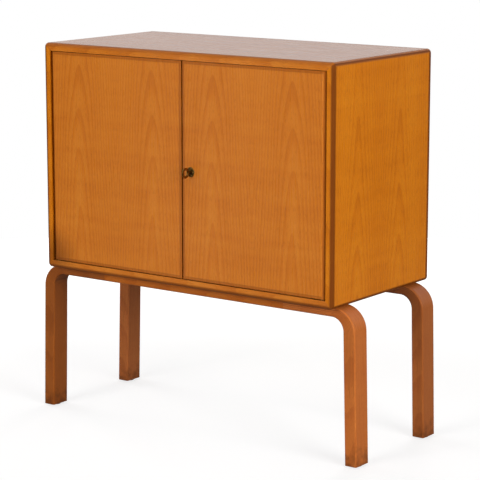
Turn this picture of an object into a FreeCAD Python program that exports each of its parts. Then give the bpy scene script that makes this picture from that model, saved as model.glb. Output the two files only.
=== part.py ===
import FreeCAD, Part
import os
import re
import Sketcher
from FreeCAD import Placement, Rotation, Vector

# Bar cabinet on four bent legs, with two doors and a fold-out shelf on the inside of the right door.
# Millimetres, +Z up, front towards -Y, origin on the floor at the middle of the overall footprint.

doc = FreeCAD.newDocument("bar_cabinet")
sheet = doc.addObject("Spreadsheet::Sheet", "Sizes")

sizes = {
    # Carcass
    "carcass_width": 800,
    "carcass_depth": 388,
    "carcass_height": 525,
    "underside_height": 348,
    "panel_thickness": 18,
    "corner_radius": 10,
    "arris_radius": 8,
    "tongue_thickness": 4,
    "tongue_width": 10,
    "tongue_stop": 20,
    "back_thickness": 6,
    "back_overlap": 9,
    "fit_clearance": 0.1,
    # Screws that hold the back panel
    "back_screw_radius": 1.75,
    "back_screw_head_radius": 3.5,
    "back_screw_length": 18,
    "back_screw_inset": 60,
    # Partition and its dowels
    "partition_thickness": 18,
    "door_stop_clearance": 0.5,
    "dowel_radius": 4,
    "dowel_length": 30,
    "dowel_sink": 12,
    "dowel_inset": 60,
    # Shelves of the left compartment
    "shelf_thickness": 16,
    "shelf_depth": 300,
    "shelf_gap": 1,
    "shelf_arris_radius": 2,
    "lower_shelf_height": 150,
    "upper_shelf_height": 310,
    "shelf_pin_radius": 2.5,
    "shelf_pin_sink": 10,
    "shelf_pin_reach": 9,
    "shelf_pin_inset": 40,
    "shelf_pin_seat": 0.1,
    # Bent legs and the rails between them
    "leg_stand_off": 36,
    "leg_splay": 9,
    "leg_inset": 30,
    "leg_width": 50,
    "leg_thickness": 30,
    "leg_outer_radius": 54,
    "leg_inner_radius": 30,
    "leg_edge_radius": 4,
    "arm_thickness": 22,
    "arm_length": 130,
    "rail_dowel_radius": 5,
    "rail_dowel_length": 50,
    "leg_screw_radius": 2.5,
    "leg_screw_head_radius": 5,
    "leg_screw_length": 34,
    "leg_screw_inset": 36,
    "rail_screw_spacing": 160,
    "glide_radius": 11,
    "glide_height": 3,
    "spigot_radius": 3,
    "spigot_length": 12,
    # Doors and their pivots
    "door_thickness": 20,
    "door_gap": 2.5,
    "door_top_gap": 1.2,
    "meeting_gap": 3,
    "door_arris_radius": 1.5,
    "pivot_plate_length": 42,
    "pivot_plate_width": 12,
    "pivot_plate_thickness": 2.5,
    "pivot_pin_radius": 2.5,
    "pivot_pin_reach": 8,
    "pivot_boss_radius": 5,
    "pivot_clearance": 0.06,
    "pivot_end_play": 0.2,
    # Bolts of the left door
    "bolt_inset": 30,
    "bolt_rod_radius": 4,
    "bolt_rod_length": 78,
    "bolt_rod_setback": 1,
    "bolt_stand_off": 7,
    "bolt_clearance": 0.15,
    "bolt_knob_radius": 3.2,
    "bolt_knob_length": 14,
    "bolt_knob_drop": 38,
    "guide_width": 22,
    "guide_length": 64,
    "guide_thickness": 2,
    "guide_offset": 6,
    "saddle_width": 16,
    "saddle_height": 10,
    "saddle_depth": 10.5,
    "keeper_width": 20,
    "keeper_thickness": 2,
    "keeper_bore_radius": 4.5,
    "keeper_bore_depth": 12,
    # Lock and key in the right door
    "lock_height": 262,
    "lock_width": 44,
    "lock_above": 30,
    "lock_below": 24,
    "lock_depth": 11,
    "lock_wall": 1.5,
    "lock_backset": 22,
    "lock_bolt_length": 38,
    "lock_bolt_height": 14,
    "lock_bolt_thickness": 4,
    "lock_bolt_lift": 5,
    "lock_bolt_setback": 0.3,
    "lock_bolt_throw": 8,
    "lock_post_radius": 2,
    "lock_post_inset": 10,
    "talon_offset": 5.5,
    "talon_height": 6,
    "lock_clearance": 0.15,
    "keyhole_radius": 3,
    "keyhole_slot_width": 3.8,
    "keyhole_slot_length": 11,
    "escutcheon_radius": 11,
    "escutcheon_thickness": 1.5,
    "escutcheon_bevel": 1.2,
    "key_projection": 30,
    "key_shank_radius": 2.5,
    "key_tip_radius": 1.5,
    "key_bow_radius": 12,
    "key_bow_hole_radius": 6.5,
    "key_bow_thickness": 3.6,
    "key_bow_edge_radius": 1.2,
    "key_collar_radius": 4,
    "key_collar_length": 3,
    "key_bit_length": 10,
    "key_bit_thickness": 3,
    "key_bit_width": 6,
    "strike_height": 30,
    "strike_width": 12,
    "strike_thickness": 1.5,
    "strike_depth": 12,
    # Fold-out shelf on the right door; its hinge line lies flap_height under the ceiling
    "flap_width": 300,
    "flap_length": 230,
    "flap_thickness": 14,
    "flap_height": 282,
    "flap_corner_radius": 12,
    "flap_arris_radius": 1.5,
    "flap_grip_radius": 18,
    "flap_grip_depth": 12,
    "flap_stand_off": 4,
    "rail_height": 45,
    "hinge_length": 60,
    "hinge_inset": 18,
    "hinge_knuckle_radius": 3,
    "hinge_leaf_width": 13,
    "hinge_leaf_thickness": 1.2,
    "hinge_leaf_gap": 0.6,
    "hinge_pin_radius": 1.5,
    "hinge_clearance": 0.05,
    "hinge_relief": 0.4,
    "pad_radius": 8,
    "pad_clearance": 0.3,
    "pad_drop": 30,
    "pad_spacing": 110,
    # Swing-out support with its wooden knuckle joint
    "fly_thickness": 20,
    "fly_length": 190,
    "fly_start": 100,
    "fly_clearance": 0.4,
    "fly_finger_gap": 0.2,
    "fly_finger_count": 5,
    "fly_pin_radius": 2.5,
    "fly_nose_radius": 26,
}

for row, (alias, number) in enumerate(sizes.items(), start=1):
    sheet.set(f"A{row}", alias)
    sheet.set(f"B{row}", str(number))
    sheet.setAlias(f"B{row}", alias)
doc.recompute()


def bound(text):
    # Turns the plain names of sizes in a formula into references to the sheet.
    return re.sub(r"[a-z][a-z_]+", lambda word: f"Sizes.{word[0]}" if word[0] in sizes else word[0], text)


def value(text):
    return float(sheet.evalExpression(bound(text)))


# Main planes and axes, as formulas of the sizes
half_width = "(carcass_width / 2)"
front = "((key_projection - carcass_depth) / 2)"
back = f"({front} + carcass_depth)"
underside = "underside_height"
top = "(underside_height + carcass_height)"
inner_half = "(carcass_width / 2 - panel_thickness)"
inner_floor = "(underside_height + panel_thickness)"
inner_ceiling = f"({top} - panel_thickness)"
back_face = f"({back} - back_thickness)"
door_low = f"({inner_floor} + door_gap)"
door_high = f"({inner_ceiling} - door_top_gap)"
door_back = f"({front} + door_thickness)"
pivot_x = f"({inner_half} - door_gap - door_thickness / 2)"
pivot_y = f"({front} + door_thickness / 2)"
leg_outer = f"({half_width} + leg_stand_off)"
leg_inner = f"({leg_outer} - leg_thickness)"
leg_rise = "(underside_height - glide_height)"
inner_bend = f"({leg_inner} + leg_splay * arm_thickness / {leg_rise})"
arm_end = f"({leg_outer} - leg_outer_radius - arm_length)"
arm_low = "(underside_height - arm_thickness)"
front_leg_y = f"({front} + leg_inset)"
rear_leg_y = f"({back} - leg_inset - leg_width)"
key_x = "(meeting_gap / 2 + lock_backset)"
key_z = "(underside_height + lock_height)"
lock_front = f"({door_back} - lock_depth)"
lock_cover_y = f"({door_back} - lock_wall)"
lock_mid_y = f"(({lock_front} + lock_wall + {lock_cover_y}) / 2)"
lock_bolt_z = f"({key_z} + lock_bolt_lift)"
bolt_x = "(-meeting_gap / 2 - bolt_inset)"
bolt_y = f"({door_back} + bolt_stand_off)"
flap_x = f"((partition_thickness / 2 + {inner_half}) / 2)"
flap_left = f"({flap_x} - flap_width / 2)"
flap_z = f"({inner_ceiling} - flap_height)"
flap_face = f"({door_back} + flap_stand_off + flap_thickness)"
hinge_z = f"({flap_z} + hinge_leaf_gap / 2)"
fly_x = f"({flap_left} + fly_start)"
fly_y = f"({flap_face} + fly_thickness / 2)"

nodes = []
axis_rotations = {
    "+Z": Rotation(),
    "-Z": Rotation(Vector(1, 0, 0), 180),
    "+X": Rotation(Vector(0, 1, 0), 90),
    "-X": Rotation(Vector(0, 1, 0), -90),
    "+Y": Rotation(Vector(1, 0, 0), -90),
    "-Y": Rotation(Vector(1, 0, 0), 90),
}


def bind(piece, **formulas):
    for name, formula in formulas.items():
        piece.setExpression(name, bound(formula))
    return piece


def place(piece, x, y, z, rotation=Rotation()):
    piece.Placement = Placement(Vector(), rotation)
    for name, formula in (("x", x), ("y", y), ("z", z)):
        piece.setExpression(f"Placement.Base.{name}", bound(formula))
    return piece


def node(label, piece):
    piece.Label = label
    nodes.append(piece)
    return piece


def box(name, x, y, z, length, width, height):
    piece = doc.addObject("Part::Box", name)
    bind(piece, Length=length, Width=width, Height=height)
    return place(piece, x, y, z)


def cylinder(name, x, y, z, radius, height, axis="+Z"):
    piece = doc.addObject("Part::Cylinder", name)
    bind(piece, Radius=radius, Height=height)
    return place(piece, x, y, z, axis_rotations[axis])


def cone(name, x, y, z, radius, end_radius, height, axis="+Z"):
    piece = doc.addObject("Part::Cone", name)
    bind(piece, Radius1=radius, Radius2=end_radius, Height=height)
    return place(piece, x, y, z, axis_rotations[axis])


def group(name, pieces):
    piece = doc.addObject("Part::Compound", name)
    piece.Links = pieces
    return piece


def fuse(name, pieces):
    piece = doc.addObject("Part::MultiFuse", name)
    piece.Shapes = pieces
    piece.Refine = True
    return piece


def cut(name, base, tools):
    piece = doc.addObject("Part::Cut", name)
    piece.Base = base
    piece.Tool = tools[0] if len(tools) == 1 else fuse(f"{name}_tools", tools)
    piece.Refine = True
    return piece


def common(name, first, second):
    piece = doc.addObject("Part::Common", name)
    piece.Base = first
    piece.Tool = second
    return piece


def origin_plane(body, role):
    return next(plane for plane in body.Origin.OriginFeatures if plane.Role == role)


def new_sketch(body, name, role):
    sketch = body.newObject("Sketcher::SketchObject", name)
    sketch.AttachmentSupport = (origin_plane(body, role), [""])
    sketch.MapMode = "FlatFace"
    return sketch


def fix_point(sketch, geometry, point, label, corner):
    for kind, formula in zip(("DistanceX", "DistanceY"), corner):
        rule = sketch.addConstraint(Sketcher.Constraint(kind, -1, 1, geometry, point, value(formula)))
        name = f"{kind}{label}"
        sketch.renameConstraint(rule, name)
        sketch.setExpression(f"Constraints.{name}", bound(formula))


def add_circle(sketch, label, centre, radius):
    middle = Vector(value(centre[0]), value(centre[1]), 0)
    index = sketch.addGeometry(Part.Circle(middle, Vector(0, 0, 1), value(radius)), False)
    fix_point(sketch, index, 3, label, centre)
    rule = sketch.addConstraint(Sketcher.Constraint("Radius", index, value(radius)))
    sketch.renameConstraint(rule, f"Radius{label}")
    sketch.setExpression(f"Constraints.Radius{label}", bound(radius))


def pad(body, sketch, length):
    feature = body.newObject("PartDesign::Pad", f"{body.Name}_pad")
    feature.Profile = sketch
    bind(feature, Length=length)
    return feature


def outline_body(name, role, corners, length):
    # A straight-sided outline on one of the body's own planes, raised to a solid.
    body = doc.addObject("PartDesign::Body", name)
    sketch = new_sketch(body, f"{name}_outline", role)
    points = [Vector(value(across), value(up), 0) for across, up in corners]
    count = len(points)
    for index in range(count):
        sketch.addGeometry(Part.LineSegment(points[index], points[(index + 1) % count]), False)
    for index in range(count):
        sketch.addConstraint(Sketcher.Constraint("Coincident", index, 2, (index + 1) % count, 1))
    for index, corner in enumerate(corners):
        fix_point(sketch, index, 1, index, corner)
    pad(body, sketch, length)
    doc.recompute()
    return body


def round_edges(body, radius, chosen):
    # Fillets the edges of the body's last feature that the test picks.
    feature = body.Tip
    names = [f"Edge{index}" for index, edge in enumerate(feature.Shape.Edges, start=1) if chosen(edge)]
    fillet = body.newObject("PartDesign::Fillet", f"{body.Name}_fillet")
    fillet.Base = (feature, names)
    bind(fillet, Radius=radius)
    doc.recompute()
    return fillet


def runs_along(edge, axis):
    ends = [vertex.Point for vertex in edge.Vertexes]
    if len(ends) < 2:
        return False
    step = ends[1] - ends[0]
    return step.Length > 0 and abs(step.normalize().dot(axis)) > 0.999


def lies_at(edge, coordinate, level):
    box_of_edge = edge.BoundBox
    low = getattr(box_of_edge, f"{coordinate}Min")
    high = getattr(box_of_edge, f"{coordinate}Max")
    return abs(low - level) < 0.01 and abs(high - level) < 0.01


def screw(name, x, y, z, axis, radius, head_radius, length, grow="0"):
    # Countersunk wood screw whose head lies flush at the given point; grow widens it into its own bore.
    shank = cylinder(f"{name}_shank", x, y, z, f"{radius} + {grow}", length, axis)
    head = cone(f"{name}_head", x, y, z, f"{head_radius} + {grow}", f"{radius} + {grow}",
                f"{head_radius} - {radius}", axis)
    return fuse(name, [shank, head])


# Carcass: four mitred panels cut from one block with rounded corners and eased front edges
envelope = outline_body("carcass_block", "XZ_Plane", [
    (f"-{half_width}", underside),
    (half_width, underside),
    (half_width, top),
    (f"-{half_width}", top),
], "carcass_depth")
round_edges(envelope, "corner_radius", lambda edge: runs_along(edge, Vector(0, 1, 0)))
round_edges(envelope, "arris_radius", lambda edge: lies_at(edge, "Y", -value("carcass_depth")))
place(envelope, "0", back, "0")

panel_outlines = {
    "top_panel": [
        (f"-{half_width}", top),
        (half_width, top),
        (inner_half, inner_ceiling),
        (f"-{inner_half}", inner_ceiling),
    ],
    "bottom_panel": [
        (f"-{half_width}", underside),
        (half_width, underside),
        (inner_half, inner_floor),
        (f"-{inner_half}", inner_floor),
    ],
    "left_side_panel": [
        (f"-{half_width}", underside),
        (f"-{half_width}", top),
        (f"-{inner_half}", inner_ceiling),
        (f"-{inner_half}", inner_floor),
    ],
    "right_side_panel": [
        (half_width, underside),
        (half_width, top),
        (inner_half, inner_ceiling),
        (inner_half, inner_floor),
    ],
}
panel_cuts = {name: [] for name in panel_outlines}

# Loose tongues across the mitres
tongues = []
for side in (-1, 1):
    for rise, level in ((-1, f"({underside} + panel_thickness / 2)"), (1, f"({top} - panel_thickness / 2)")):
        across = f"{side} * ({half_width} - panel_thickness / 2)"
        long_step = "(tongue_width / sqrt(8))"
        thin_step = "(tongue_thickness / sqrt(8))"
        corner_signs = ((1, 1), (1, -1), (-1, -1), (-1, 1))
        corners = [
            (f"{across} + {side} * ({a} * {long_step} + {b} * {thin_step})",
             f"{level} + {rise} * (-({a}) * {long_step} + {b} * {thin_step})")
            for a, b in corner_signs
        ]
        tongue = outline_body(f"tongue_{len(tongues)}", "XZ_Plane", corners, "carcass_depth - 2 * tongue_stop")
        tongues.append(place(tongue, "0", f"{back} - tongue_stop", "0"))
        panel_cuts["top_panel" if rise > 0 else "bottom_panel"].append(tongue)
        panel_cuts["right_side_panel" if side > 0 else "left_side_panel"].append(tongue)
node("mitre_tongues", group("mitre_tongues", tongues))

# Back panel in a rebate all round
rebate = box("back_rebate", f"-{inner_half} - back_overlap", back_face, f"{inner_floor} - back_overlap",
             f"2 * ({inner_half} + back_overlap)", "2 * back_thickness",
             f"carcass_height - 2 * panel_thickness + 2 * back_overlap")
for cuts in panel_cuts.values():
    cuts.append(rebate)
back_blank = box("back_blank", f"-{inner_half} - back_overlap + fit_clearance", back_face,
                 f"{inner_floor} - back_overlap + fit_clearance",
                 f"2 * ({inner_half} + back_overlap - fit_clearance)", "back_thickness",
                 f"carcass_height - 2 * panel_thickness + 2 * (back_overlap - fit_clearance)")

back_screws = []
back_bores = []
screw_across = f"({inner_half} + back_overlap / 2)"
screw_low = f"({inner_floor} - back_overlap / 2)"
screw_high = f"({inner_ceiling} + back_overlap / 2)"
middle_z = f"({underside} + carcass_height / 2)"
screw_places = []
for side, panel in ((-1, "left_side_panel"), (1, "right_side_panel")):
    for level in (f"{inner_floor} + back_screw_inset", middle_z, f"{inner_ceiling} - back_screw_inset"):
        screw_places.append((panel, f"{side} * {screw_across}", level))
for panel, level in (("bottom_panel", screw_low), ("top_panel", screw_high)):
    for side in (-1, 1):
        screw_places.append((panel, f"{side} * ({inner_half} - back_screw_inset)", level))
        screw_places.append((panel, f"{side} * back_screw_inset", level))
for index, (panel, x, z) in enumerate(screw_places):
    sort = ("back_screw_radius", "back_screw_head_radius", "back_screw_length")
    back_screws.append(screw(f"back_screw_{index}", x, back, z, "-Y", *sort))
    bore = screw(f"back_bore_{index}", x, back, z, "-Y", *sort, grow="fit_clearance")
    back_bores.append(bore)
    panel_cuts[panel].append(bore)
node("back_panel", cut("back_panel", back_blank, back_bores))
node("back_panel_screws", group("back_panel_screws", back_screws))

# Partition behind the meeting edges of the doors; it stops both doors
partition_front = f"({door_back} + door_stop_clearance)"
partition_blank = box("partition_blank", "-partition_thickness / 2", partition_front, inner_floor,
                      "partition_thickness", f"{back_face} - {partition_front}",
                      "carcass_height - 2 * panel_thickness")
partition_cuts = []
dowels = []
for y in (f"{partition_front} + dowel_inset", f"{back_face} - dowel_inset"):
    for panel, foot, axis in (("bottom_panel", f"{inner_floor} - dowel_sink", "+Z"),
                              ("top_panel", f"{inner_ceiling} + dowel_sink", "-Z")):
        name = f"partition_dowel_{len(dowels)}"
        dowels.append(cylinder(name, "0", y, foot, "dowel_radius", "dowel_length", axis))
        hole = cylinder(f"{name}_hole", "0", y, foot, "dowel_radius + fit_clearance", "dowel_length", axis)
        panel_cuts[panel].append(hole)
        partition_cuts.append(hole)
node("partition_dowels", group("partition_dowels", dowels))

# Two shelves on pins in the left compartment
shelf_left = f"(-{inner_half} + shelf_gap)"
shelf_right = "(-partition_thickness / 2 - shelf_gap)"
shelf_front = f"({back_face} - shelf_gap - shelf_depth)"
pins = []
for label, height in (("lower_shelf", "lower_shelf_height"), ("upper_shelf", "upper_shelf_height")):
    shelf_z = f"({inner_floor} + {height})"
    board = outline_body(label, "XY_Plane", [
        (shelf_left, shelf_front),
        (shelf_right, shelf_front),
        (shelf_right, f"{shelf_front} + shelf_depth"),
        (shelf_left, f"{shelf_front} + shelf_depth"),
    ], "shelf_thickness")
    round_edges(board, "shelf_arris_radius", lambda edge: lies_at(edge, "Y", value(shelf_front))
                and runs_along(edge, Vector(1, 0, 0)))
    node(label, place(board, "0", "0", shelf_z))
    for y in (f"{shelf_front} + shelf_pin_inset", f"{shelf_front} + shelf_depth - shelf_pin_inset"):
        pin_z = f"{shelf_z} - shelf_pin_radius - shelf_pin_seat"
        pin_length = "shelf_pin_sink + shelf_pin_reach"
        for x, axis, cuts in ((f"-{inner_half} - shelf_pin_sink", "+X", panel_cuts["left_side_panel"]),
                              ("-partition_thickness / 2 + shelf_pin_sink", "-X", partition_cuts)):
            name = f"shelf_pin_{len(pins)}"
            pins.append(cylinder(name, x, y, pin_z, "shelf_pin_radius", pin_length, axis))
            cuts.append(cylinder(f"{name}_hole", x, y, pin_z, "shelf_pin_radius + fit_clearance",
                                 pin_length, axis))
node("shelf_pins", group("shelf_pins", pins))
node("partition", cut("partition", partition_blank, partition_cuts))

# Bent legs: an L outline with a round shoulder, its arm under the carcass and its foot splayed outwards
screws = []
glides = []
rail_dowels = []
rail_cuts = {"front_rail": [], "rear_rail": []}


def leg_screw(x, y, cuts):
    name = f"leg_screw_{len(screws)}"
    sort = ("leg_screw_radius", "leg_screw_head_radius", "leg_screw_length")
    screws.append(screw(name, x, y, arm_low, "+Z", *sort))
    bore = screw(f"{name}_bore", x, y, arm_low, "+Z", *sort, grow="fit_clearance")
    cuts.append(bore)
    panel_cuts["bottom_panel"].append(bore)


for row, leg_y in (("front", front_leg_y), ("rear", rear_leg_y)):
    mid_y = f"{leg_y} + leg_width / 2"
    rail = f"{row}_rail"
    for side, hand in ((-1, "left"), (1, "right")):
        label = f"{row}_{hand}_leg"
        corners = [
            (f"{side} * ({leg_outer} + leg_splay)", "glide_height"),
            (f"{side} * {leg_outer}", underside),
            (f"{side} * {arm_end}", underside),
            (f"{side} * {arm_end}", arm_low),
            (f"{side} * {inner_bend}", arm_low),
            (f"{side} * ({leg_inner} + leg_splay)", "glide_height"),
        ]
        blank = outline_body(f"{label}_blank", "XZ_Plane", corners, "leg_width")

        def at_corner(edge, across, up):
            here = edge.CenterOfMass
            return (runs_along(edge, Vector(0, 1, 0)) and abs(here.x - side * value(across)) < 0.01
                    and abs(here.z - value(up)) < 0.01)

        round_edges(blank, "leg_outer_radius", lambda edge: at_corner(edge, leg_outer, underside))
        round_edges(blank, "leg_inner_radius", lambda edge: at_corner(edge, inner_bend, arm_low))
        upright = Vector(-side * value("leg_splay"), 0, value(leg_rise)).normalize()
        round_edges(blank, "leg_edge_radius", lambda edge: runs_along(edge, upright)
                    and abs(edge.CenterOfMass.x) > value(leg_inner) - 1)
        place(blank, "0", f"{leg_y} + leg_width", "0")

        leg_x = f"{side} * ({leg_outer} + leg_splay - leg_thickness / 2)"
        disc = cylinder(f"{label}_disc", leg_x, mid_y, "0", "glide_radius", "glide_height")
        spigot = cylinder(f"{label}_spigot", leg_x, mid_y, "0", "spigot_radius",
                          "glide_height + spigot_length")
        glides.append(fuse(f"{label}_glide", [disc, spigot]))
        spigot_hole = cylinder(f"{label}_spigot_hole", leg_x, mid_y, "0", "spigot_radius + fit_clearance",
                               "glide_height + spigot_length + fit_clearance")

        name = f"rail_dowel_{len(rail_dowels)}"
        dowel_x = f"{side} * {arm_end} - rail_dowel_length / 2"
        dowel_z = f"{underside} - arm_thickness / 2"
        rail_dowels.append(cylinder(name, dowel_x, mid_y, dowel_z, "rail_dowel_radius",
                                    "rail_dowel_length", "+X"))
        dowel_hole = cylinder(f"{name}_hole", dowel_x, mid_y, dowel_z, "rail_dowel_radius + fit_clearance",
                              "rail_dowel_length", "+X")
        rail_cuts[rail].append(dowel_hole)

        leg_cuts = [spigot_hole, dowel_hole]
        for x in (f"{arm_end} + leg_screw_inset", f"{arm_end} + arm_length - leg_screw_inset / 2"):
            leg_screw(f"{side} * ({x})", mid_y, leg_cuts)
        node(label, cut(label, blank, leg_cuts))

    rail_blank = outline_body(f"{rail}_blank", "XZ_Plane", [
        (f"-{arm_end}", arm_low),
        (arm_end, arm_low),
        (arm_end, underside),
        (f"-{arm_end}", underside),
    ], "leg_width")
    round_edges(rail_blank, "leg_edge_radius", lambda edge: runs_along(edge, Vector(1, 0, 0)))
    place(rail_blank, "0", f"{leg_y} + leg_width", "0")
    for step in (-1, 0, 1):
        leg_screw(f"{step} * rail_screw_spacing", mid_y, rail_cuts[rail])
    node(rail, cut(rail, rail_blank, rail_cuts[rail]))

node("leg_screws", group("leg_screws", screws))
node("foot_glides", group("foot_glides", glides))
node("rail_dowels", group("rail_dowels", rail_dowels))

# Pivot plates: one pair above and one below each door, let in flush
door_cuts = {"left": [], "right": []}
for side, hand in ((-1, "left"), (1, "right")):
    carcass_plates = []
    door_plates = []
    plate_span = "pivot_plate_length"
    plate_near = f"({pivot_x} + pivot_plate_width / 2)"
    plate_x = f"({side} * {plate_near} - ({side} + 1) / 2 * {plate_span})"
    plate_y = f"({pivot_y} - pivot_plate_width / 2)"
    for level, turn, seat, edge_z, gap, panel in (
        ("low", 1, inner_floor, door_low, "door_gap", "bottom_panel"),
        ("high", -1, inner_ceiling, door_high, "door_top_gap", "top_panel"),
    ):
        name = f"{hand}_{level}_pivot"
        axis = "+Z" if turn > 0 else "-Z"
        plate_z = f"{seat} - ({turn} + 1) / 2 * pivot_plate_thickness"
        plate = box(f"{name}_plate", plate_x, plate_y, plate_z, plate_span, "pivot_plate_width",
                    "pivot_plate_thickness")
        panel_cuts[panel].append(plate)
        pin = cylinder(f"{name}_pin", f"{side} * {pivot_x}", pivot_y, seat, "pivot_pin_radius",
                       f"{gap} + pivot_pin_reach", axis)
        boss = cylinder(f"{name}_boss", f"{side} * {pivot_x}", pivot_y, seat, "pivot_boss_radius",
                        f"{gap} - pivot_end_play", axis)
        carcass_plates.append(fuse(f"{name}_fixed", [plate, pin, boss]))

        leaf_z = f"{edge_z} - (1 - {turn}) / 2 * pivot_plate_thickness"
        leaf = box(f"{name}_leaf", plate_x, plate_y, leaf_z, plate_span, "pivot_plate_width",
                   "pivot_plate_thickness")
        hole = cylinder(f"{name}_hole", f"{side} * {pivot_x}", pivot_y, seat,
                        "pivot_pin_radius + pivot_clearance", f"{gap} + pivot_pin_reach + fit_clearance", axis)
        door_plates.append(cut(f"{name}_moving", leaf, [hole]))
        door_cuts[hand] += [leaf, hole]
    node(f"{hand}_pivot_plates", group(f"{hand}_pivot_plates", carcass_plates))
    node(f"{hand}_door_pivot_plates", group(f"{hand}_door_pivot_plates", door_plates))

# Bolts that hold the left door, above and below
bolt_guides = []
keepers = []
for label, turn, seat, edge_z, panel in (("lower_bolt", 1, inner_floor, door_low, "bottom_panel"),
                                         ("upper_bolt", -1, inner_ceiling, door_high, "top_panel")):
    axis = "+Z" if turn > 0 else "-Z"

    def from_edge(name, x, y, step, length, width, height):
        # A block that starts a step inside the door's edge and runs on from it.
        z = f"{edge_z} + {turn} * ({step}) - (1 - {turn}) / 2 * ({height})"
        return box(f"{label}_{name}", x, y, z, length, width, height)

    base = from_edge("guide_base", f"{bolt_x} - guide_width / 2", door_back, "guide_offset", "guide_width",
                     "guide_thickness", "guide_length")
    saddles = [
        from_edge(f"saddle_{end}", f"{bolt_x} - saddle_width / 2", f"{door_back} + guide_thickness / 2",
                  f"guide_offset + {end} * (guide_length - saddle_height)", "saddle_width",
                  "saddle_depth + guide_thickness / 2", "saddle_height")
        for end in (0, 1)
    ]
    rod_foot = f"{edge_z} + {turn} * bolt_rod_setback"
    bore = cylinder(f"{label}_bore", bolt_x, bolt_y, edge_z, "bolt_rod_radius + bolt_clearance",
                    "guide_offset + 2 * guide_length", axis)
    bolt_guides.append(cut(f"{label}_guide", fuse(f"{label}_guide_blank", [base] + saddles), [bore]))
    rod = cylinder(f"{label}_rod", bolt_x, bolt_y, rod_foot, "bolt_rod_radius", "bolt_rod_length", axis)
    knob = cylinder(f"{label}_knob", bolt_x, bolt_y, f"{edge_z} + {turn} * bolt_knob_drop",
                    "bolt_knob_radius", "bolt_knob_length", "+Y")
    node(label, fuse(label, [rod, knob]))

    plate = box(f"{label}_keeper_plate", f"{bolt_x} - keeper_width / 2", f"{bolt_y} - keeper_width / 2",
                f"{seat} - ({turn} + 1) / 2 * keeper_thickness", "keeper_width", "keeper_width",
                "keeper_thickness")
    out_axis = "-Z" if turn > 0 else "+Z"
    keeper_bore = cylinder(f"{label}_keeper_bore", bolt_x, bolt_y, seat, "keeper_bore_radius",
                           "keeper_bore_depth", out_axis)
    keepers.append(cut(f"{label}_keeper", plate, [keeper_bore]))
    panel_cuts[panel] += [plate, keeper_bore]
node("bolt_guides", group("bolt_guides", bolt_guides))
node("bolt_keepers", group("bolt_keepers", keepers))

# Carcass panels, now that everything let into them is known
for label, corners in panel_outlines.items():
    blank = outline_body(f"{label}_blank", "XZ_Plane", corners, "carcass_depth")
    place(blank, "0", back, "0")
    node(label, cut(label, common(f"{label}_rounded", blank, envelope), panel_cuts[label]))

# Lock let into the inner face of the right door, its bolt driven by the key
lock_low = f"({key_z} - lock_below)"
lock_tall = "(lock_below + lock_above)"
lock_left = "(meeting_gap / 2)"
keyhole_start = f"({front} - 2 * escutcheon_thickness)"
keyhole_reach = f"({lock_front} + 2 * lock_wall - {keyhole_start})"
keyhole_round = cylinder("keyhole_round", key_x, keyhole_start, key_z, "keyhole_radius", keyhole_reach, "+Y")
keyhole_slot = box("keyhole_slot", f"{key_x} - keyhole_slot_width / 2", keyhole_start,
                   f"{key_z} - keyhole_slot_length", "keyhole_slot_width", keyhole_reach,
                   "keyhole_slot_length")
case_block = box("lock_case_block", lock_left, lock_front, lock_low, "lock_width", "lock_depth - lock_wall",
                 lock_tall)
case_room = box("lock_case_room", f"{lock_left} + lock_wall", f"{lock_front} + lock_wall",
                f"{lock_low} + lock_wall", "lock_width - 2 * lock_wall", "lock_depth",
                f"{lock_tall} - 2 * lock_wall")
bolt_slot = box("lock_bolt_slot", f"{lock_left} - lock_wall",
                f"{lock_mid_y} - lock_bolt_thickness / 2 - lock_clearance", f"{lock_bolt_z} - lock_clearance",
                "3 * lock_wall", "lock_bolt_thickness + 2 * lock_clearance",
                "lock_bolt_height + 2 * lock_clearance")
post_x = f"({lock_left} + lock_width - lock_post_inset)"
post_z = f"({lock_bolt_z} + lock_bolt_height - (lock_bolt_height - talon_height) / 2)"
post = cylinder("lock_post", post_x, lock_front, post_z, "lock_post_radius", "lock_depth - lock_wall", "+Y")
shell = cut("lock_case_shell", case_block, [case_room, bolt_slot, keyhole_round, keyhole_slot])
node("lock_case", fuse("lock_case", [shell, post]))

cover_plate = box("lock_cover_plate", lock_left, lock_cover_y, lock_low, "lock_width", "lock_wall", lock_tall)
tip_hole = cylinder("key_tip_hole", key_x, lock_cover_y, key_z, "key_tip_radius + fit_clearance",
                    "2 * lock_wall", "+Y")
node("lock_cover", cut("lock_cover", cover_plate, [tip_hole]))

bolt_start = f"({lock_left} + lock_bolt_setback)"
bolt_bar = box("lock_bolt_bar", bolt_start, f"{lock_mid_y} - lock_bolt_thickness / 2", lock_bolt_z,
               "lock_bolt_length", "lock_bolt_thickness", "lock_bolt_height")
talon = box("lock_bolt_talon", f"{key_x} + talon_offset", f"{lock_mid_y} - lock_bolt_thickness", lock_bolt_z,
            "lock_bolt_length", "2 * lock_bolt_thickness", "talon_height")
slot_width = "(2 * (lock_post_radius + lock_clearance))"
post_slot = box("lock_bolt_post_slot", f"{post_x} - {slot_width} / 2",
                f"{lock_mid_y} - lock_bolt_thickness", f"{post_z} - {slot_width} / 2",
                f"{slot_width} + lock_bolt_throw", "2 * lock_bolt_thickness", slot_width)
node("lock_bolt", cut("lock_bolt", bolt_bar, [talon, post_slot]))

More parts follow.
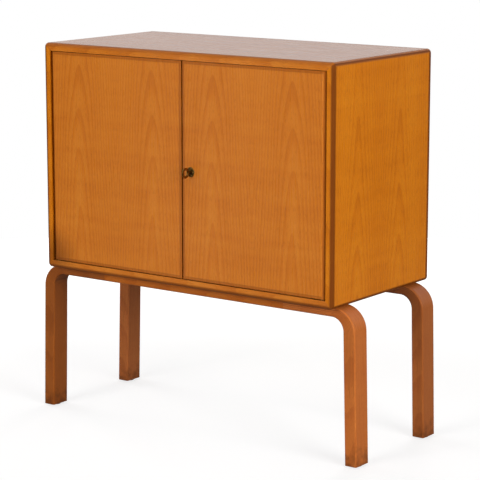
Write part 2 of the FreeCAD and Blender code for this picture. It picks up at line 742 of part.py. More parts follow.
bow_y = f"({front} - key_projection + key_bow_radius)"
bow = doc.addObject("PartDesign::Body", "key_bow")
bow_outline = new_sketch(bow, "key_bow_outline", "YZ_Plane")
add_circle(bow_outline, "Rim", (bow_y, key_z), "key_bow_radius")
add_circle(bow_outline, "Hole", (bow_y, key_z), "key_bow_hole_radius")
pad(bow, bow_outline, "key_bow_thickness")
doc.recompute()
round_edges(bow, "key_bow_edge_radius", lambda edge: edge.isClosed())
place(bow, f"{key_x} - key_bow_thickness / 2", "0", "0")
shank_start = f"({bow_y} + (key_bow_radius + key_bow_hole_radius) / 2)"
shank_end = f"({lock_cover_y} - lock_clearance)"
shank = cylinder("key_shank", key_x, shank_start, key_z, "key_shank_radius",
                 f"{shank_end} - {shank_start}", "+Y")
collar_y = f"{front} - escutcheon_thickness - key_collar_length - lock_clearance"
collar = cylinder("key_collar", key_x, collar_y, key_z, "key_collar_radius", "key_collar_length", "+Y")
tip = cylinder("key_tip", key_x, shank_end, key_z, "key_tip_radius", "lock_wall", "+Y")
bit = box("key_bit", f"{key_x} - key_bit_thickness / 2", f"{lock_mid_y} - key_bit_width / 2",
          f"{key_z} - key_bit_length", "key_bit_thickness", "key_bit_width", "key_bit_length")
node("key", fuse("key", [bow, shank, collar, tip, bit]))

escutcheon_disc = cone("escutcheon_disc", key_x, front, key_z, "escutcheon_radius",
                       "escutcheon_radius - escutcheon_bevel", "escutcheon_thickness", "-Y")
node("escutcheon", cut("escutcheon", escutcheon_disc, [keyhole_round, keyhole_slot]))
lock_pocket = box("lock_pocket", f"{lock_left} - lock_wall", lock_front, lock_low,
                  "lock_width + lock_wall", "2 * lock_depth", lock_tall)
door_cuts["right"] += [lock_pocket, keyhole_round, keyhole_slot]

# Strike for the lock bolt, let into the meeting edge of the left door
strike_z = f"({lock_bolt_z} + lock_bolt_height / 2 - strike_height / 2)"
strike_plate = box("strike_plate", "-meeting_gap / 2 - strike_thickness", f"{lock_mid_y} - strike_width / 2",
                   strike_z, "strike_thickness", "strike_width", "strike_height")
strike_room = box("strike_room", "-meeting_gap / 2 - strike_depth",
                  f"{lock_mid_y} - lock_bolt_thickness / 2 - fit_clearance - lock_clearance",
                  f"{lock_bolt_z} - fit_clearance - lock_clearance", "2 * strike_depth",
                  "lock_bolt_thickness + 2 * (fit_clearance + lock_clearance)",
                  "lock_bolt_height + 2 * (fit_clearance + lock_clearance)")
node("lock_strike", cut("lock_strike", strike_plate, [strike_room]))
door_cuts["left"] += [strike_plate, strike_room]

# Doors: flat slabs whose hanging edge is a half round about the pivot
for side, hand in ((-1, "left"), (1, "right")):
    label = f"{hand}_door"
    door_height = f"{door_high} - {door_low}"
    slab = outline_body(f"{label}_slab", "XY_Plane", [
        (f"{side} * meeting_gap / 2", front),
        (f"{side} * {pivot_x}", front),
        (f"{side} * {pivot_x}", door_back),
        (f"{side} * meeting_gap / 2", door_back),
    ], door_height)
    round_edges(slab, "door_arris_radius", lambda edge: lies_at(edge, "X", side * value("meeting_gap / 2"))
                and runs_along(edge, Vector(0, 0, 1)))
    hanging_edge = new_sketch(slab, f"{label}_hanging_edge", "XY_Plane")
    add_circle(hanging_edge, "Pivot", (f"{side} * {pivot_x}", pivot_y), "door_thickness / 2")
    pad(slab, hanging_edge, door_height)
    doc.recompute()
    place(slab, "0", "0", door_low)
    node(label, cut(label, slab, door_cuts[hand]))

# Fold-out shelf: a board hinged on a rail across the inside of the right door
flap = outline_body("flap_board", "XZ_Plane", [
    (flap_left, f"{hinge_z} + hinge_leaf_gap / 2"),
    (f"{flap_left} + flap_width", f"{hinge_z} + hinge_leaf_gap / 2"),
    (f"{flap_left} + flap_width", f"{flap_z} + flap_length"),
    (flap_left, f"{flap_z} + flap_length"),
], "flap_thickness")
round_edges(flap, "flap_corner_radius", lambda edge: runs_along(edge, Vector(0, 1, 0))
            and edge.CenterOfMass.z > value(f"{flap_z} + flap_length") - 1)
round_edges(flap, "flap_arris_radius", lambda edge: edge.CenterOfMass.z > value(f"{hinge_z} + hinge_leaf_gap")
            and (lies_at(edge, "Y", 0) or lies_at(edge, "Y", -value("flap_thickness"))))
place(flap, "0", flap_face, "0")
grip = cylinder("flap_grip", flap_x, f"{door_back} - flap_thickness",
                f"{flap_z} + flap_length - flap_grip_depth + flap_grip_radius", "flap_grip_radius",
                "3 * flap_thickness", "+Y")
flap_cuts = [grip]
rail_tools = []
hinge_reliefs = []
rail_leaves = []
flap_leaves = []
hinge_pins = []
knuckle_length = "(hinge_length / 3)"
for index, hinge_x in enumerate((f"({flap_left} + hinge_inset)",
                                 f"({flap_left} + flap_width - hinge_inset - hinge_length)")):
    name = f"shelf_hinge_{index}"

    def barrel(part, step, length, radius):
        return cylinder(f"{name}_{part}", f"{hinge_x} + {step}", flap_face, hinge_z, radius, length, "+X")

    relief = "hinge_knuckle_radius + hinge_relief"
    leaf_y = f"{flap_face} - hinge_leaf_width"
    fixed_leaf = box(f"{name}_fixed_leaf", hinge_x, leaf_y, f"{flap_z} - hinge_leaf_thickness", "hinge_length",
                     "hinge_leaf_width", "hinge_leaf_thickness")
    moving_leaf = box(f"{name}_moving_leaf", hinge_x, leaf_y, f"{hinge_z} + hinge_leaf_gap / 2",
                      "hinge_length", "hinge_leaf_width", "hinge_leaf_thickness")
    outer_barrels = [barrel("barrel_0", "0", knuckle_length, "hinge_knuckle_radius"),
                     barrel("barrel_2", f"2 * {knuckle_length}", knuckle_length, "hinge_knuckle_radius")]
    middle_barrel = barrel("barrel_1", f"{knuckle_length} + hinge_clearance",
                           f"{knuckle_length} - 2 * hinge_clearance", "hinge_knuckle_radius")
    outer_reliefs = [
        barrel("relief_0", f"-{knuckle_length}", f"2 * {knuckle_length} + hinge_clearance", relief),
        barrel("relief_2", f"2 * {knuckle_length} - hinge_clearance", f"2 * {knuckle_length}", relief),
    ]
    middle_relief = barrel("relief_1", knuckle_length, knuckle_length, relief)
    tight_bore = barrel("tight_bore", "0", "hinge_length", "hinge_pin_radius")
    free_bore = barrel("free_bore", "0", "hinge_length", "hinge_pin_radius + hinge_clearance")
    fixed_blank = cut(f"{name}_fixed_blank", fixed_leaf, [middle_relief])
    moving_blank = cut(f"{name}_moving_blank", moving_leaf, outer_reliefs)
    rail_leaves.append(cut(f"{name}_fixed", fuse(f"{name}_fixed_body", [fixed_blank] + outer_barrels),
                           [tight_bore]))
    flap_leaves.append(cut(f"{name}_moving", fuse(f"{name}_moving_body", [moving_blank, middle_barrel]),
                           [free_bore]))
    hinge_pins.append(barrel("pin", "0", "hinge_length", "hinge_pin_radius"))
    whole_relief = barrel("relief", "-hinge_relief", "hinge_length + 2 * hinge_relief", relief)
    flap_cuts += [moving_leaf, whole_relief]
    rail_tools += [fixed_leaf, whole_relief]
    hinge_reliefs.append(whole_relief)
node("fold_out_shelf", cut("fold_out_shelf", flap, flap_cuts))
node("shelf_hinge_rail_leaves", group("shelf_hinge_rail_leaves", rail_leaves))
node("shelf_hinge_flap_leaves", group("shelf_hinge_flap_leaves", flap_leaves))
node("shelf_hinge_pins", group("shelf_hinge_pins", hinge_pins))

rail_low = f"({flap_z} - rail_height)"
rail_blank = box("shelf_rail_blank", flap_left, door_back, rail_low, "flap_width",
                 f"{flap_face} - {door_back}", "rail_height")
node("shelf_rail", cut("shelf_rail", rail_blank, rail_tools))

pads = [
    cylinder(f"rest_pad_{side}", f"{flap_x} + {step} * pad_spacing", door_back,
             f"{flap_z} + flap_length - pad_drop", "pad_radius", "flap_stand_off - pad_clearance", "+Y")
    for side, step in (("left", -1), ("right", 1))
]
node("shelf_rest_pads", group("shelf_rest_pads", pads))

# Swing-out support: part of the rail's front half turns out on a wooden knuckle joint
fly_radius = "(fly_thickness / 2 - fly_clearance)"
finger_height = "(rail_height / fly_finger_count)"
fixed_end = f"({fly_x} - fly_thickness / 2 - fly_clearance)"
fly_root = f"({fly_x} + fly_thickness / 2 + fly_clearance)"
fixed_parts = [box("knuckle_rail_block", flap_left, flap_face, rail_low, f"{fixed_end} - {flap_left}",
                   "fly_thickness", "rail_height")]
fly_parts = [outline_body("fly_block", "XZ_Plane", [
    (fly_root, rail_low),
    (f"{fly_x} + fly_length", rail_low),
    (f"{fly_x} + fly_length", flap_z),
    (fly_root, flap_z),
], f"2 * {fly_radius}")]
round_edges(fly_parts[0], "fly_nose_radius", lambda edge: runs_along(edge, Vector(0, 1, 0))
            and edge.CenterOfMass.x > value(f"{fly_x} + fly_length") - 1
            and edge.CenterOfMass.z < value(rail_low) + 1)
place(fly_parts[0], "0", f"{fly_y} + {fly_radius}", "0")
for finger in range(sizes["fly_finger_count"]):
    finger_z = f"({rail_low} + {finger} * {finger_height} + fly_finger_gap / 2)"
    tall = f"({finger_height} - fly_finger_gap)"
    if finger % 2 == 0:
        fixed_parts.append(cylinder(f"knuckle_{finger}", fly_x, fly_y, finger_z, "fly_thickness / 2", tall))
        fixed_parts.append(box(f"knuckle_neck_{finger}", fixed_end, flap_face, finger_z,
                               f"{fly_x} - {fixed_end}", "fly_thickness", tall))
    else:
        fly_parts.append(cylinder(f"knuckle_{finger}", fly_x, fly_y, finger_z, fly_radius, tall))
        fly_parts.append(box(f"knuckle_neck_{finger}", fly_x, f"{fly_y} - {fly_radius}", finger_z,
                             f"{fly_root} - {fly_x}", f"2 * {fly_radius}", tall))
tight_bore = cylinder("fly_pin_bore", fly_x, fly_y, rail_low, "fly_pin_radius", "rail_height")
free_bore = cylinder("fly_free_bore", fly_x, fly_y, rail_low, "fly_pin_radius + pivot_clearance",
                     "rail_height")
fly_cove = cylinder("fly_cove", fly_x, flap_face, hinge_z,
                    "hinge_knuckle_radius + hinge_relief + fly_clearance", "fly_length", "+X")
knuckle_body = fuse("knuckle_rail_body", fixed_parts)
node("knuckle_rail", cut("knuckle_rail", knuckle_body, [tight_bore, hinge_reliefs[0]]))
node("fly_support", cut("fly_support", fuse("fly_support_body", fly_parts), [free_bore, fly_cove]))
node("fly_pin", cylinder("fly_pin", fly_x, fly_y, rail_low, "fly_pin_radius", "rail_height"))

doc.recompute()

for piece in doc.Objects:
    if "Invalid" in piece.State or "Error" in piece.State:
        raise RuntimeError(f"{piece.Name} failed to build: {piece.State}")
for piece in nodes:
    if piece.Shape.isNull() or not piece.Shape.isValid() or not piece.Shape.Solids:
        raise RuntimeError(f"{piece.Label} has no valid shape")

os.makedirs("parts", exist_ok=True)
for piece in nodes:
    piece.Shape.exportStep(f"parts/{piece.Label}.step")
    print(f"{piece.Label}: {len(piece.Shape.Solids)} solids, {piece.Shape.Volume / 1000:.1f} cm3")
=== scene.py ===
import math

import bmesh
import bpy
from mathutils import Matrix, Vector


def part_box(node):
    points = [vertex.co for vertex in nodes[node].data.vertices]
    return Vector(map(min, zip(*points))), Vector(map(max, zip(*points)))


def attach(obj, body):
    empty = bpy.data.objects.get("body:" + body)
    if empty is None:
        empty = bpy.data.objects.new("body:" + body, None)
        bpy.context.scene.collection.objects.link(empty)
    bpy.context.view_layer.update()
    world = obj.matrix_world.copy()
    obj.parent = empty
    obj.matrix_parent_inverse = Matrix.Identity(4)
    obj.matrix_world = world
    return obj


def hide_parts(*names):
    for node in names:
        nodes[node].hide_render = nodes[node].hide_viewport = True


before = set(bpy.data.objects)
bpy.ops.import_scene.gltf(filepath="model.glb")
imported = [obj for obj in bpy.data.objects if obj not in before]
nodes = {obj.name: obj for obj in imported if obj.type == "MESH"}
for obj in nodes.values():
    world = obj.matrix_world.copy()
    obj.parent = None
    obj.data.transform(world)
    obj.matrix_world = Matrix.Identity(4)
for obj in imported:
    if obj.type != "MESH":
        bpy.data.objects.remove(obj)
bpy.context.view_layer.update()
scene = bpy.context.scene
print("frame loaded:", len(nodes), "nodes")


def toLinear(hexColour):
    channels = [int(hexColour[start:start + 2], 16) / 255 for start in (1, 3, 5)]
    return tuple(c / 12.92 if c <= 0.04045 else ((c + 0.055) / 1.055) ** 2.4 for c in channels) + (1.0,)


def addNode(tree, kind, inputs=None, **settings):
    # A node among the inputs is linked by its first output.
    node = tree.nodes.new(kind)
    for name, setting in settings.items():
        setattr(node, name, setting)
    for socket, given in (inputs or {}).items():
        if isinstance(given, bpy.types.Node):
            given = given.outputs[0]
        if isinstance(given, bpy.types.NodeSocket):
            tree.links.new(given, node.inputs[socket])
        else:
            node.inputs[socket].default_value = given
    return node


# Camera: a long lens from the front right, a little above the top
view = {
    "azimuth": 36.16,  # degrees round from straight in front
    "elevation": 10.72,
    "distance": 4.603,  # metres from the aim point
    "aim": (0.0166, 0.0152, 0.4279),
    "focalPixels": 2006.6,  # focal length in pixels of the 480 pixel wide frame
    "framePixels": 480,
    "sensorWidth": 36,  # millimetres
    "farthest": 200,  # metres that the camera sees
}


def makeCamera():
    turn = math.radians(view["azimuth"])
    lift = math.radians(view["elevation"])
    away = Vector((math.sin(turn) * math.cos(lift), -math.cos(turn) * math.cos(lift), math.sin(lift)))
    lens = bpy.data.cameras.new("camera")
    lens.sensor_width = view["sensorWidth"]
    lens.lens = view["focalPixels"] / view["framePixels"] * lens.sensor_width
    lens.clip_end = view["farthest"]
    camera = bpy.data.objects.new("camera", lens)
    camera.location = Vector(view["aim"]) + away * view["distance"]
    camera.rotation_euler = away.to_track_quat("Z", "Y").to_euler()
    scene.collection.objects.link(camera)
    scene.camera = camera
    print("camera set")


# Studio: a low white backdrop opposite the camera, a dim room round it, a round pale floor, large soft boxes
# and a faint tall strip lamp that shows only in the polish
studio = {
    "roomShade": "#404040",  # what the polished fronts mirror
    "wallShade": "#FFFFFF",
    "wallTop": 0.62,  # sine of the height where the backdrop has faded into the room
    "wallFoot": (-0.1, 0.05),  # sines of the heights between which it fades in
    "wallSides": (0.35, 0.6),  # cosines of the angles from its middle between which it fades in
    "ceilingShade": "#D0D0D0",  # a pale upper room that only shows in polished edges and metal
    "ceilingFrom": 0.03,  # sines of the heights between which the room turns pale
    "ceilingTo": 0.45,
    "floorShade": "#F6F6F6",
    "floorRolled": "#FAFAFA",  # where the roller left more paint
    "floorPatches": 1.4,  # such patches to the metre
    "floorRough": 0.7,
    "floorGloss": 0.1,
    "floorMirrored": "#7C7A78",  # how bright the floor is as a light for the underside
    "floorGlow": 0.71,  # share of the floor's white that no shadow takes away
    "floorLit": 0.34,  # how much of the paint's white the lamps light
    "floorRadius": 2.4,
    "floorSides": 96,
    "floorFade": 0.55,  # from here to the rim the floor turns to the white of the backdrop
    "lights": {
        "frontSoftBox": {"place": (-0.5, -4.3, 1.5), "size": 2.2, "watts": 150},
        "rightSoftBox": {"place": (4.2, -1.2, 1.45), "size": 2.2, "watts": 185},
        "leftSoftBox": {"place": (-4.0, 0.6, 1.3), "size": 2.0, "watts": 80},
        "rearSoftBox": {"place": (-0.9, 4.2, 1.4), "size": 2.0, "watts": 95},
    },
    "sheenStrip": {"place": (-0.96, -1.55, 0.33), "size": 0.2, "height": 1.2, "watts": 1.0},
    "aim": (0, 0, 0.5),
}


def hangLamp(name, spec):
    lamp = bpy.data.lights.new(name, "AREA")
    lamp.size = spec["size"]
    lamp.energy = spec["watts"]
    light = bpy.data.objects.new(name, lamp)
    light.location = spec["place"]
    light.rotation_euler = (Vector(spec["place"]) - Vector(studio["aim"])).to_track_quat("Z", "Y").to_euler()
    scene.collection.objects.link(light)
    return light


def makeStudio():
    scene.view_settings.view_transform = "Standard"
    world = bpy.data.worlds.new("studio")
    world.use_nodes = True
    scene.world = world
    tree = world.node_tree
    tree.nodes.clear()
    turn = math.radians(view["azimuth"])
    ray = addNode(tree, "ShaderNodeTexCoord").outputs["Generated"]
    facing = addNode(tree, "ShaderNodeVectorMath", {0: ray, 1: (-math.sin(turn), math.cos(turn), 0)},
                     operation="DOT_PRODUCT").outputs["Value"]
    behind = addNode(tree, "ShaderNodeMapRange", {
        "Value": facing, "From Min": studio["wallSides"][0], "From Max": studio["wallSides"][1],
    })
    height = addNode(tree, "ShaderNodeSeparateXYZ", {0: ray}).outputs["Z"]
    above = addNode(tree, "ShaderNodeMapRange", {
        "Value": height, "From Min": studio["wallFoot"][0], "From Max": studio["wallFoot"][1],
    })
    below = addNode(tree, "ShaderNodeMapRange", {
        "Value": height, "From Min": studio["wallTop"], "From Max": studio["wallTop"] / 2,
    })
    band = addNode(tree, "ShaderNodeMath", {0: above, 1: below}, operation="MULTIPLY")
    wall = addNode(tree, "ShaderNodeMath", {0: behind, 1: band}, operation="MULTIPLY")
    shade = addNode(tree, "ShaderNodeMix", {
        0: wall, 6: toLinear(studio["roomShade"]), 7: toLinear(studio["wallShade"]),
    }, data_type="RGBA").outputs[2]
    rays = addNode(tree, "ShaderNodeLightPath").outputs
    overhead = addNode(tree, "ShaderNodeMapRange", {
        "Value": height, "From Min": studio["ceilingFrom"], "From Max": studio["ceilingTo"],
    })
    mirrored = addNode(tree, "ShaderNodeMath", {0: overhead, 1: rays["Is Glossy Ray"]}, operation="MULTIPLY")
    shade = addNode(tree, "ShaderNodeMix", {
        0: mirrored, 6: shade, 7: toLinear(studio["ceilingShade"]),
    }, data_type="RGBA", blend_type="LIGHTEN").outputs[2]
    plain = addNode(tree, "ShaderNodeMix", {
        0: rays["Is Camera Ray"], 6: shade, 7: toLinear(studio["wallShade"]),
    }, data_type="RGBA").outputs[2]
    background = addNode(tree, "ShaderNodeBackground", {"Color": plain})
    addNode(tree, "ShaderNodeOutputWorld", {"Surface": background})

    for name, spec in studio["lights"].items():
        hangLamp(name, spec).visible_glossy = False  # the polish mirrors the room, not the soft boxes
    strip = hangLamp("sheenStrip", studio["sheenStrip"])
    strip.data.shape = "RECTANGLE"
    strip.data.size_y = studio["sheenStrip"]["height"]
    strip.visible_camera = strip.visible_diffuse = False

    disc = bmesh.new()
    bmesh.ops.create_circle(disc, cap_ends=True, segments=studio["floorSides"], radius=studio["floorRadius"])
    mesh = bpy.data.meshes.new("floor")
    disc.to_mesh(mesh)
    disc.free()
    mesh.materials.append(makeFloorPaint())
    floor = bpy.data.objects.new("floor", mesh)
    scene.collection.objects.link(floor)
    print("studio lit:", len(studio["lights"]), "soft boxes")


def newMaterial(name):
    material = bpy.data.materials.new(name)
    material.use_nodes = True
    tree = material.node_tree
    tree.nodes.clear()
    shader = addNode(tree, "ShaderNodeBsdfPrincipled")
    addNode(tree, "ShaderNodeOutputMaterial", {"Surface": shader})
    return material, tree, shader


# Matt white paint on a smooth floor: nearly even, a trace of the roller, lit so that shadows stay faint
def makeFloorPaint():
    material, tree, shader = newMaterial("matt_white_floor_paint")
    place = addNode(tree, "ShaderNodeTexCoord").outputs["Object"]
    seen = addNode(tree, "ShaderNodeLightPath").outputs["Is Camera Ray"]
    patches = addNode(tree, "ShaderNodeTexNoise", {
        "Vector": place, "Scale": studio["floorPatches"], "Detail": 2,
    })
    tone = addNode(tree, "ShaderNodeMix", {
        0: patches, 6: toLinear(studio["floorShade"]), 7: toLinear(studio["floorRolled"]),
    }, data_type="RGBA").outputs[2]
    dimmed = addNode(tree, "ShaderNodeMix", {
        0: 1 - studio["floorLit"], 6: tone, 7: toLinear("#000000"),
    }, data_type="RGBA").outputs[2]
    base = addNode(tree, "ShaderNodeMix", {
        0: seen, 6: toLinear(studio["floorMirrored"]), 7: dimmed,
    }, data_type="RGBA").outputs[2]
    reach = addNode(tree, "ShaderNodeVectorMath", {0: place}, operation="LENGTH").outputs["Value"]
    fade = addNode(tree, "ShaderNodeMapRange", {
        "Value": reach, "From Min": studio["floorFade"], "From Max": studio["floorRadius"],
        "To Min": studio["floorGlow"], "To Max": 1.0,
    }, interpolation_type="SMOOTHSTEP")
    glow = addNode(tree, "ShaderNodeMath", {0: fade, 1: seen}, operation="MULTIPLY")
    tree.links.new(base, shader.inputs["Base Color"])
    tree.links.new(glow.outputs[0], shader.inputs["Emission Strength"])
    shader.inputs["Emission Color"].default_value = toLinear(studio["wallShade"])
    shader.inputs["Roughness"].default_value = studio["floorRough"]
    shader.inputs["Specular IOR Level"].default_value = studio["floorGloss"]
    return material


# Stained birch: fine even grain, faint growth rings that run up in tall arches, a cross shimmer where the
# fibres wave, satin polish. Widths across and lengths along the fibres are in millimetres. Fibres and pores
# are drawn several times coarser than in nature, which is as fine as the picture can show.
stainedBirch = {
    "dark": "#8D430F", "middle": "#BC691C", "pale": "#CF822E", "pore": "#6D330B",
    "ringWidth": 6.5,
    "heartOffset": 82,  # from the leaf's edge to the middle of the arches
    "heartDepth": 46,  # how far the cut passes beside the heart of the tree
    "taper": 0.05,  # how much a ring widens on its way down the trunk
    "ringWander": 1.3,  # rings of sideways wander
    "layers": {
        "wander": {"size": (70, 480), "detail": 1.5},
        "broad": {"size": (95, 700), "detail": 2.0},
        "fibre": {"size": (1.6, 90), "detail": 2.5},
        "shimmer": {"size": (110, 24), "detail": 1.5},
        "pores": {"size": (0.7, 9), "detail": 0.0},
    },
    "tone": 0.6,  # where the even wood lies between dark and pale
    "broadDepth": 0.42, "fibreDepth": 0.4, "shimmerDepth": 0.26, "ringDepth": 0.17, "poreDepth": 0.3,
    "lateWood": (0.35, 0.97),  # shares of a year between which the wood darkens
    "poreSpan": (0.62, 0.74),  # noise values between which a pore begins
    "fibreSpan": (0.3, 0.7),  # noise values between which the polish goes from rough to smooth
    "poreSink": 1.5, "reliefStrength": 0.12, "reliefHeight": 0.0004,
    "roughLow": 0.24, "roughHigh": 0.38, "gloss": 0.35, "ior": 1.5,
}
# Legs and rails: the case's birch drawn darker, as painted shade under the case
bentBirch = dict(stainedBirch, dark="#763708", middle="#A25312", pale="#B66922", pore="#5C2A06", ringWidth=5,
                 heartOffset=0, shimmerDepth=0.15, roughLow=0.3, roughHigh=0.45)
# Panels of the case also say how deep the painted shade on their rounded edges is.
# The sides' birch is more golden, with less blue, than the doors': painted reflection, for the paler haze
# mirrored in the doors' polish
sideBirch = dict(stainedBirch, dark="#904501", middle="#C26C0A", pale="#D6851A", edgeDepth=0.9)
polishedTop = dict(stainedBirch, roughLow=0.19, roughHigh=0.3, edgeDepth=0.3)  # front edge rubbed by hands, with lighter painted shade on its rounded edges
bottomBirch = dict(stainedBirch, edgeDepth=0.7)
innerBirch = dict(stainedBirch, dark="#B07A3C", middle="#D2A364", pale="#E3BE86", pore="#93622F",
                  heartOffset=15, roughLow=0.42, roughHigh=0.58)
standingBirch = dict(innerBirch, heartOffset=705, taper=0.08)  # boards that stand against the right door
peeledBirch = dict(innerBirch, heartOffset=575, ringWidth=12, ringWander=2.4)  # peeled, so its rings are wide


def grainColour(tree, shader, finish, across, through, along):
    # Sets roughness and relief of a wood whose fibres run along the last coordinate, and gives its colour.
    grain = addNode(tree, "ShaderNodeCombineXYZ", {0: across, 1: through, 2: along})
    layers = {}
    for name, layer in finish["layers"].items():
        width, length = layer["size"]
        stretch = (1000 / width, 1000 / width, 1000 / length)
        spot = addNode(tree, "ShaderNodeVectorMath", {0: grain, 1: stretch}, operation="MULTIPLY")
        layers[name] = addNode(tree, "ShaderNodeTexNoise", {
            "Vector": spot, "Scale": 1.0, "Detail": layer["detail"],
        })

    aside = addNode(tree, "ShaderNodeMath", {0: across, 1: finish["heartOffset"] / 1000},
                    operation="SUBTRACT")
    cut = addNode(tree, "ShaderNodeCombineXYZ", {0: aside, 1: finish["heartDepth"] / 1000})
    radius = addNode(tree, "ShaderNodeVectorMath", {0: cut}, operation="LENGTH").outputs["Value"]
    sloped = addNode(tree, "ShaderNodeMath", {0: along, 1: finish["taper"], 2: radius},
                     operation="MULTIPLY_ADD")
    rings = addNode(tree, "ShaderNodeMath", {0: sloped, 1: 1000 / finish["ringWidth"]}, operation="MULTIPLY")
    wander = addNode(tree, "ShaderNodeMath", {0: layers["wander"], 1: 2 * finish["ringWander"], 2: rings},
                     operation="MULTIPLY_ADD")
    year = addNode(tree, "ShaderNodeMath", {0: wander}, operation="FRACT")
    ring = addNode(tree, "ShaderNodeMapRange", {
        "Value": year, "From Min": finish["lateWood"][0], "From Max": finish["lateWood"][1],
    }, interpolation_type="SMOOTHSTEP")

    tone = finish["tone"]
    for name in ("broad", "fibre", "shimmer"):
        centred = addNode(tree, "ShaderNodeMath", {0: layers[name], 1: 0.5}, operation="SUBTRACT")
        tone = addNode(tree, "ShaderNodeMath", {0: centred, 1: finish[name + "Depth"], 2: tone},
                       operation="MULTIPLY_ADD")
    tone = addNode(tree, "ShaderNodeMath", {0: ring, 1: -finish["ringDepth"], 2: tone},
                   operation="MULTIPLY_ADD")
    ramp = addNode(tree, "ShaderNodeValToRGB", {0: tone})
    ramp.color_ramp.elements[0].color = toLinear(finish["dark"])
    ramp.color_ramp.elements[1].color = toLinear(finish["pale"])
    ramp.color_ramp.elements.new(0.5).color = toLinear(finish["middle"])
    pores = addNode(tree, "ShaderNodeMapRange", {
        "Value": layers["pores"], "From Min": finish["poreSpan"][0], "From Max": finish["poreSpan"][1],
        "To Max": finish["poreDepth"],
    }, interpolation_type="SMOOTHSTEP")
    colour = addNode(tree, "ShaderNodeMix", {
        0: pores, 6: ramp, 7: toLinear(finish["pore"]),
    }, data_type="RGBA").outputs[2]

    rough = addNode(tree, "ShaderNodeMapRange", {
        "Value": layers["fibre"], "From Min": finish["fibreSpan"][0], "From Max": finish["fibreSpan"][1],
        "To Min": finish["roughHigh"], "To Max": finish["roughLow"],
    })
    height = addNode(tree, "ShaderNodeMath", {0: pores, 1: -finish["poreSink"], 2: layers["fibre"]},
                     operation="MULTIPLY_ADD")
    relief = addNode(tree, "ShaderNodeBump", {
        "Height": height, "Strength": finish["reliefStrength"], "Distance": finish["reliefHeight"],
    })
    tree.links.new(rough.outputs[0], shader.inputs["Roughness"])
    tree.links.new(relief.outputs[0], shader.inputs["Normal"])
    shader.inputs["IOR"].default_value = finish["ior"]
    shader.inputs["Specular IOR Level"].default_value = finish["gloss"]
    return colour


def makeBoard(name, finish, axes):
    # axes names the coordinates along, across and through the fibres.
    material, tree, shader = newMaterial(name)
    place = addNode(tree, "ShaderNodeTexCoord").outputs["Object"]
    parts = addNode(tree, "ShaderNodeSeparateXYZ", {0: place}).outputs
    along, across, through = (parts[letter] for letter in axes)
    colour = grainColour(tree, shader, finish, across, through, along)
    tree.links.new(colour, shader.inputs["Base Color"])
    return material


# Panels of the case: leaves of veneer opened like a book, rounded edges drawn darker as painted shade and
# rubbed pale in places, no stain inside
caseVeneer = {
    "leafWidth": 0.194,
    "paintedEdgeShade": "#5E2A05",
    "edgeWidth": 0.0105,
    "edgeRough": 0.62,
    "insideHue": 0.534,
    "insideSaturation": 0.8,
    "insideValue": 1.28,
    "insideMargin": 0.0005,  # how close to an inner face counts as that face
}

# Edges rubbed pale by hands and cloths, in places
wornEdges = {
    "shade": "#D79A52", "depth": 0.3, "width": 0.0045, "core": 0.001, "spread": 0.006,
    "casePatches": 28.0, "legPatches": 30.0,  # to the metre
}

# Dark patches in the polish: fingers about the key, a dark patch in the lower left corner of the front
polishMarks = {
    "blotches": 22.0,  # to the metre, along the ragged rim of a mark
    "spread": 0.05,
    "core": 0.02,
    "fingers": {"radius": 0.085, "shade": "#7A3B10", "depth": 0.18},
    "lowerLeftPatch": {"radius": 0.105, "shade": "#582808", "depth": 0.62, "fromCorner": (0.03, 0, 0.035)},
}


def darkenAbout(tree, colour, place, centre, mark):
    reach = addNode(tree, "ShaderNodeVectorMath", {0: place, 1: centre},
                    operation="DISTANCE").outputs["Value"]
    blotch = addNode(tree, "ShaderNodeTexNoise", {
        "Vector": place, "Scale": polishMarks["blotches"], "Detail": 3.0,
    })
    ragged = addNode(tree, "ShaderNodeMath", {0: blotch, 1: polishMarks["spread"], 2: reach},
                     operation="MULTIPLY_ADD")
    patch = addNode(tree, "ShaderNodeMapRange", {
        "Value": ragged, "From Min": mark["radius"], "From Max": polishMarks["core"], "To Max": mark["depth"],
    }, interpolation_type="SMOOTHSTEP")
    return addNode(tree, "ShaderNodeMix", {
        0: patch, 6: colour, 7: toLinear(mark["shade"]),
    }, data_type="RGBA").outputs[2]


def rubEdges(tree, colour, place, edge, patches):
    # edge is the distance from the nearest edge.
    rub = addNode(tree, "ShaderNodeTexNoise", {"Vector": place, "Scale": patches, "Detail": 4.0})
    ragged = addNode(tree, "ShaderNodeMath", {0: rub, 1: wornEdges["spread"], 2: edge},
                     operation="MULTIPLY_ADD")
    worn = addNode(tree, "ShaderNodeMapRange", {
        "Value": ragged, "From Min": wornEdges["width"], "From Max": wornEdges["core"],
        "To Max": wornEdges["depth"],
    }, interpolation_type="SMOOTHSTEP")
    return addNode(tree, "ShaderNodeMix", {
        0: worn, 6: colour, 7: toLinear(wornEdges["shade"]),
    }, data_type="RGBA").outputs[2]


def varnishInside(tree, shader, colour, depth, face):
    # Faces inside the case and the doors, from a depth on, were varnished without stain.
    inside = addNode(tree, "ShaderNodeMath", {0: depth, 1: face - caseVeneer["insideMargin"]},
                     operation="GREATER_THAN")
    paler = addNode(tree, "ShaderNodeHueSaturation", {
        "Hue": caseVeneer["insideHue"], "Saturation": caseVeneer["insideSaturation"],
        "Value": caseVeneer["insideValue"], "Fac": inside, "Color": colour,
    })
    tree.links.new(paler.outputs[0], shader.inputs["Base Color"])


def caseCorners():
    low = Vector((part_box("left_side_panel")[0].x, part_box("top_panel")[0].y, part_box("bottom_panel")[0].z))
    high = Vector((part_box("right_side_panel")[1].x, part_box("top_panel")[1].y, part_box("top_panel")[1].z))
    return low, high


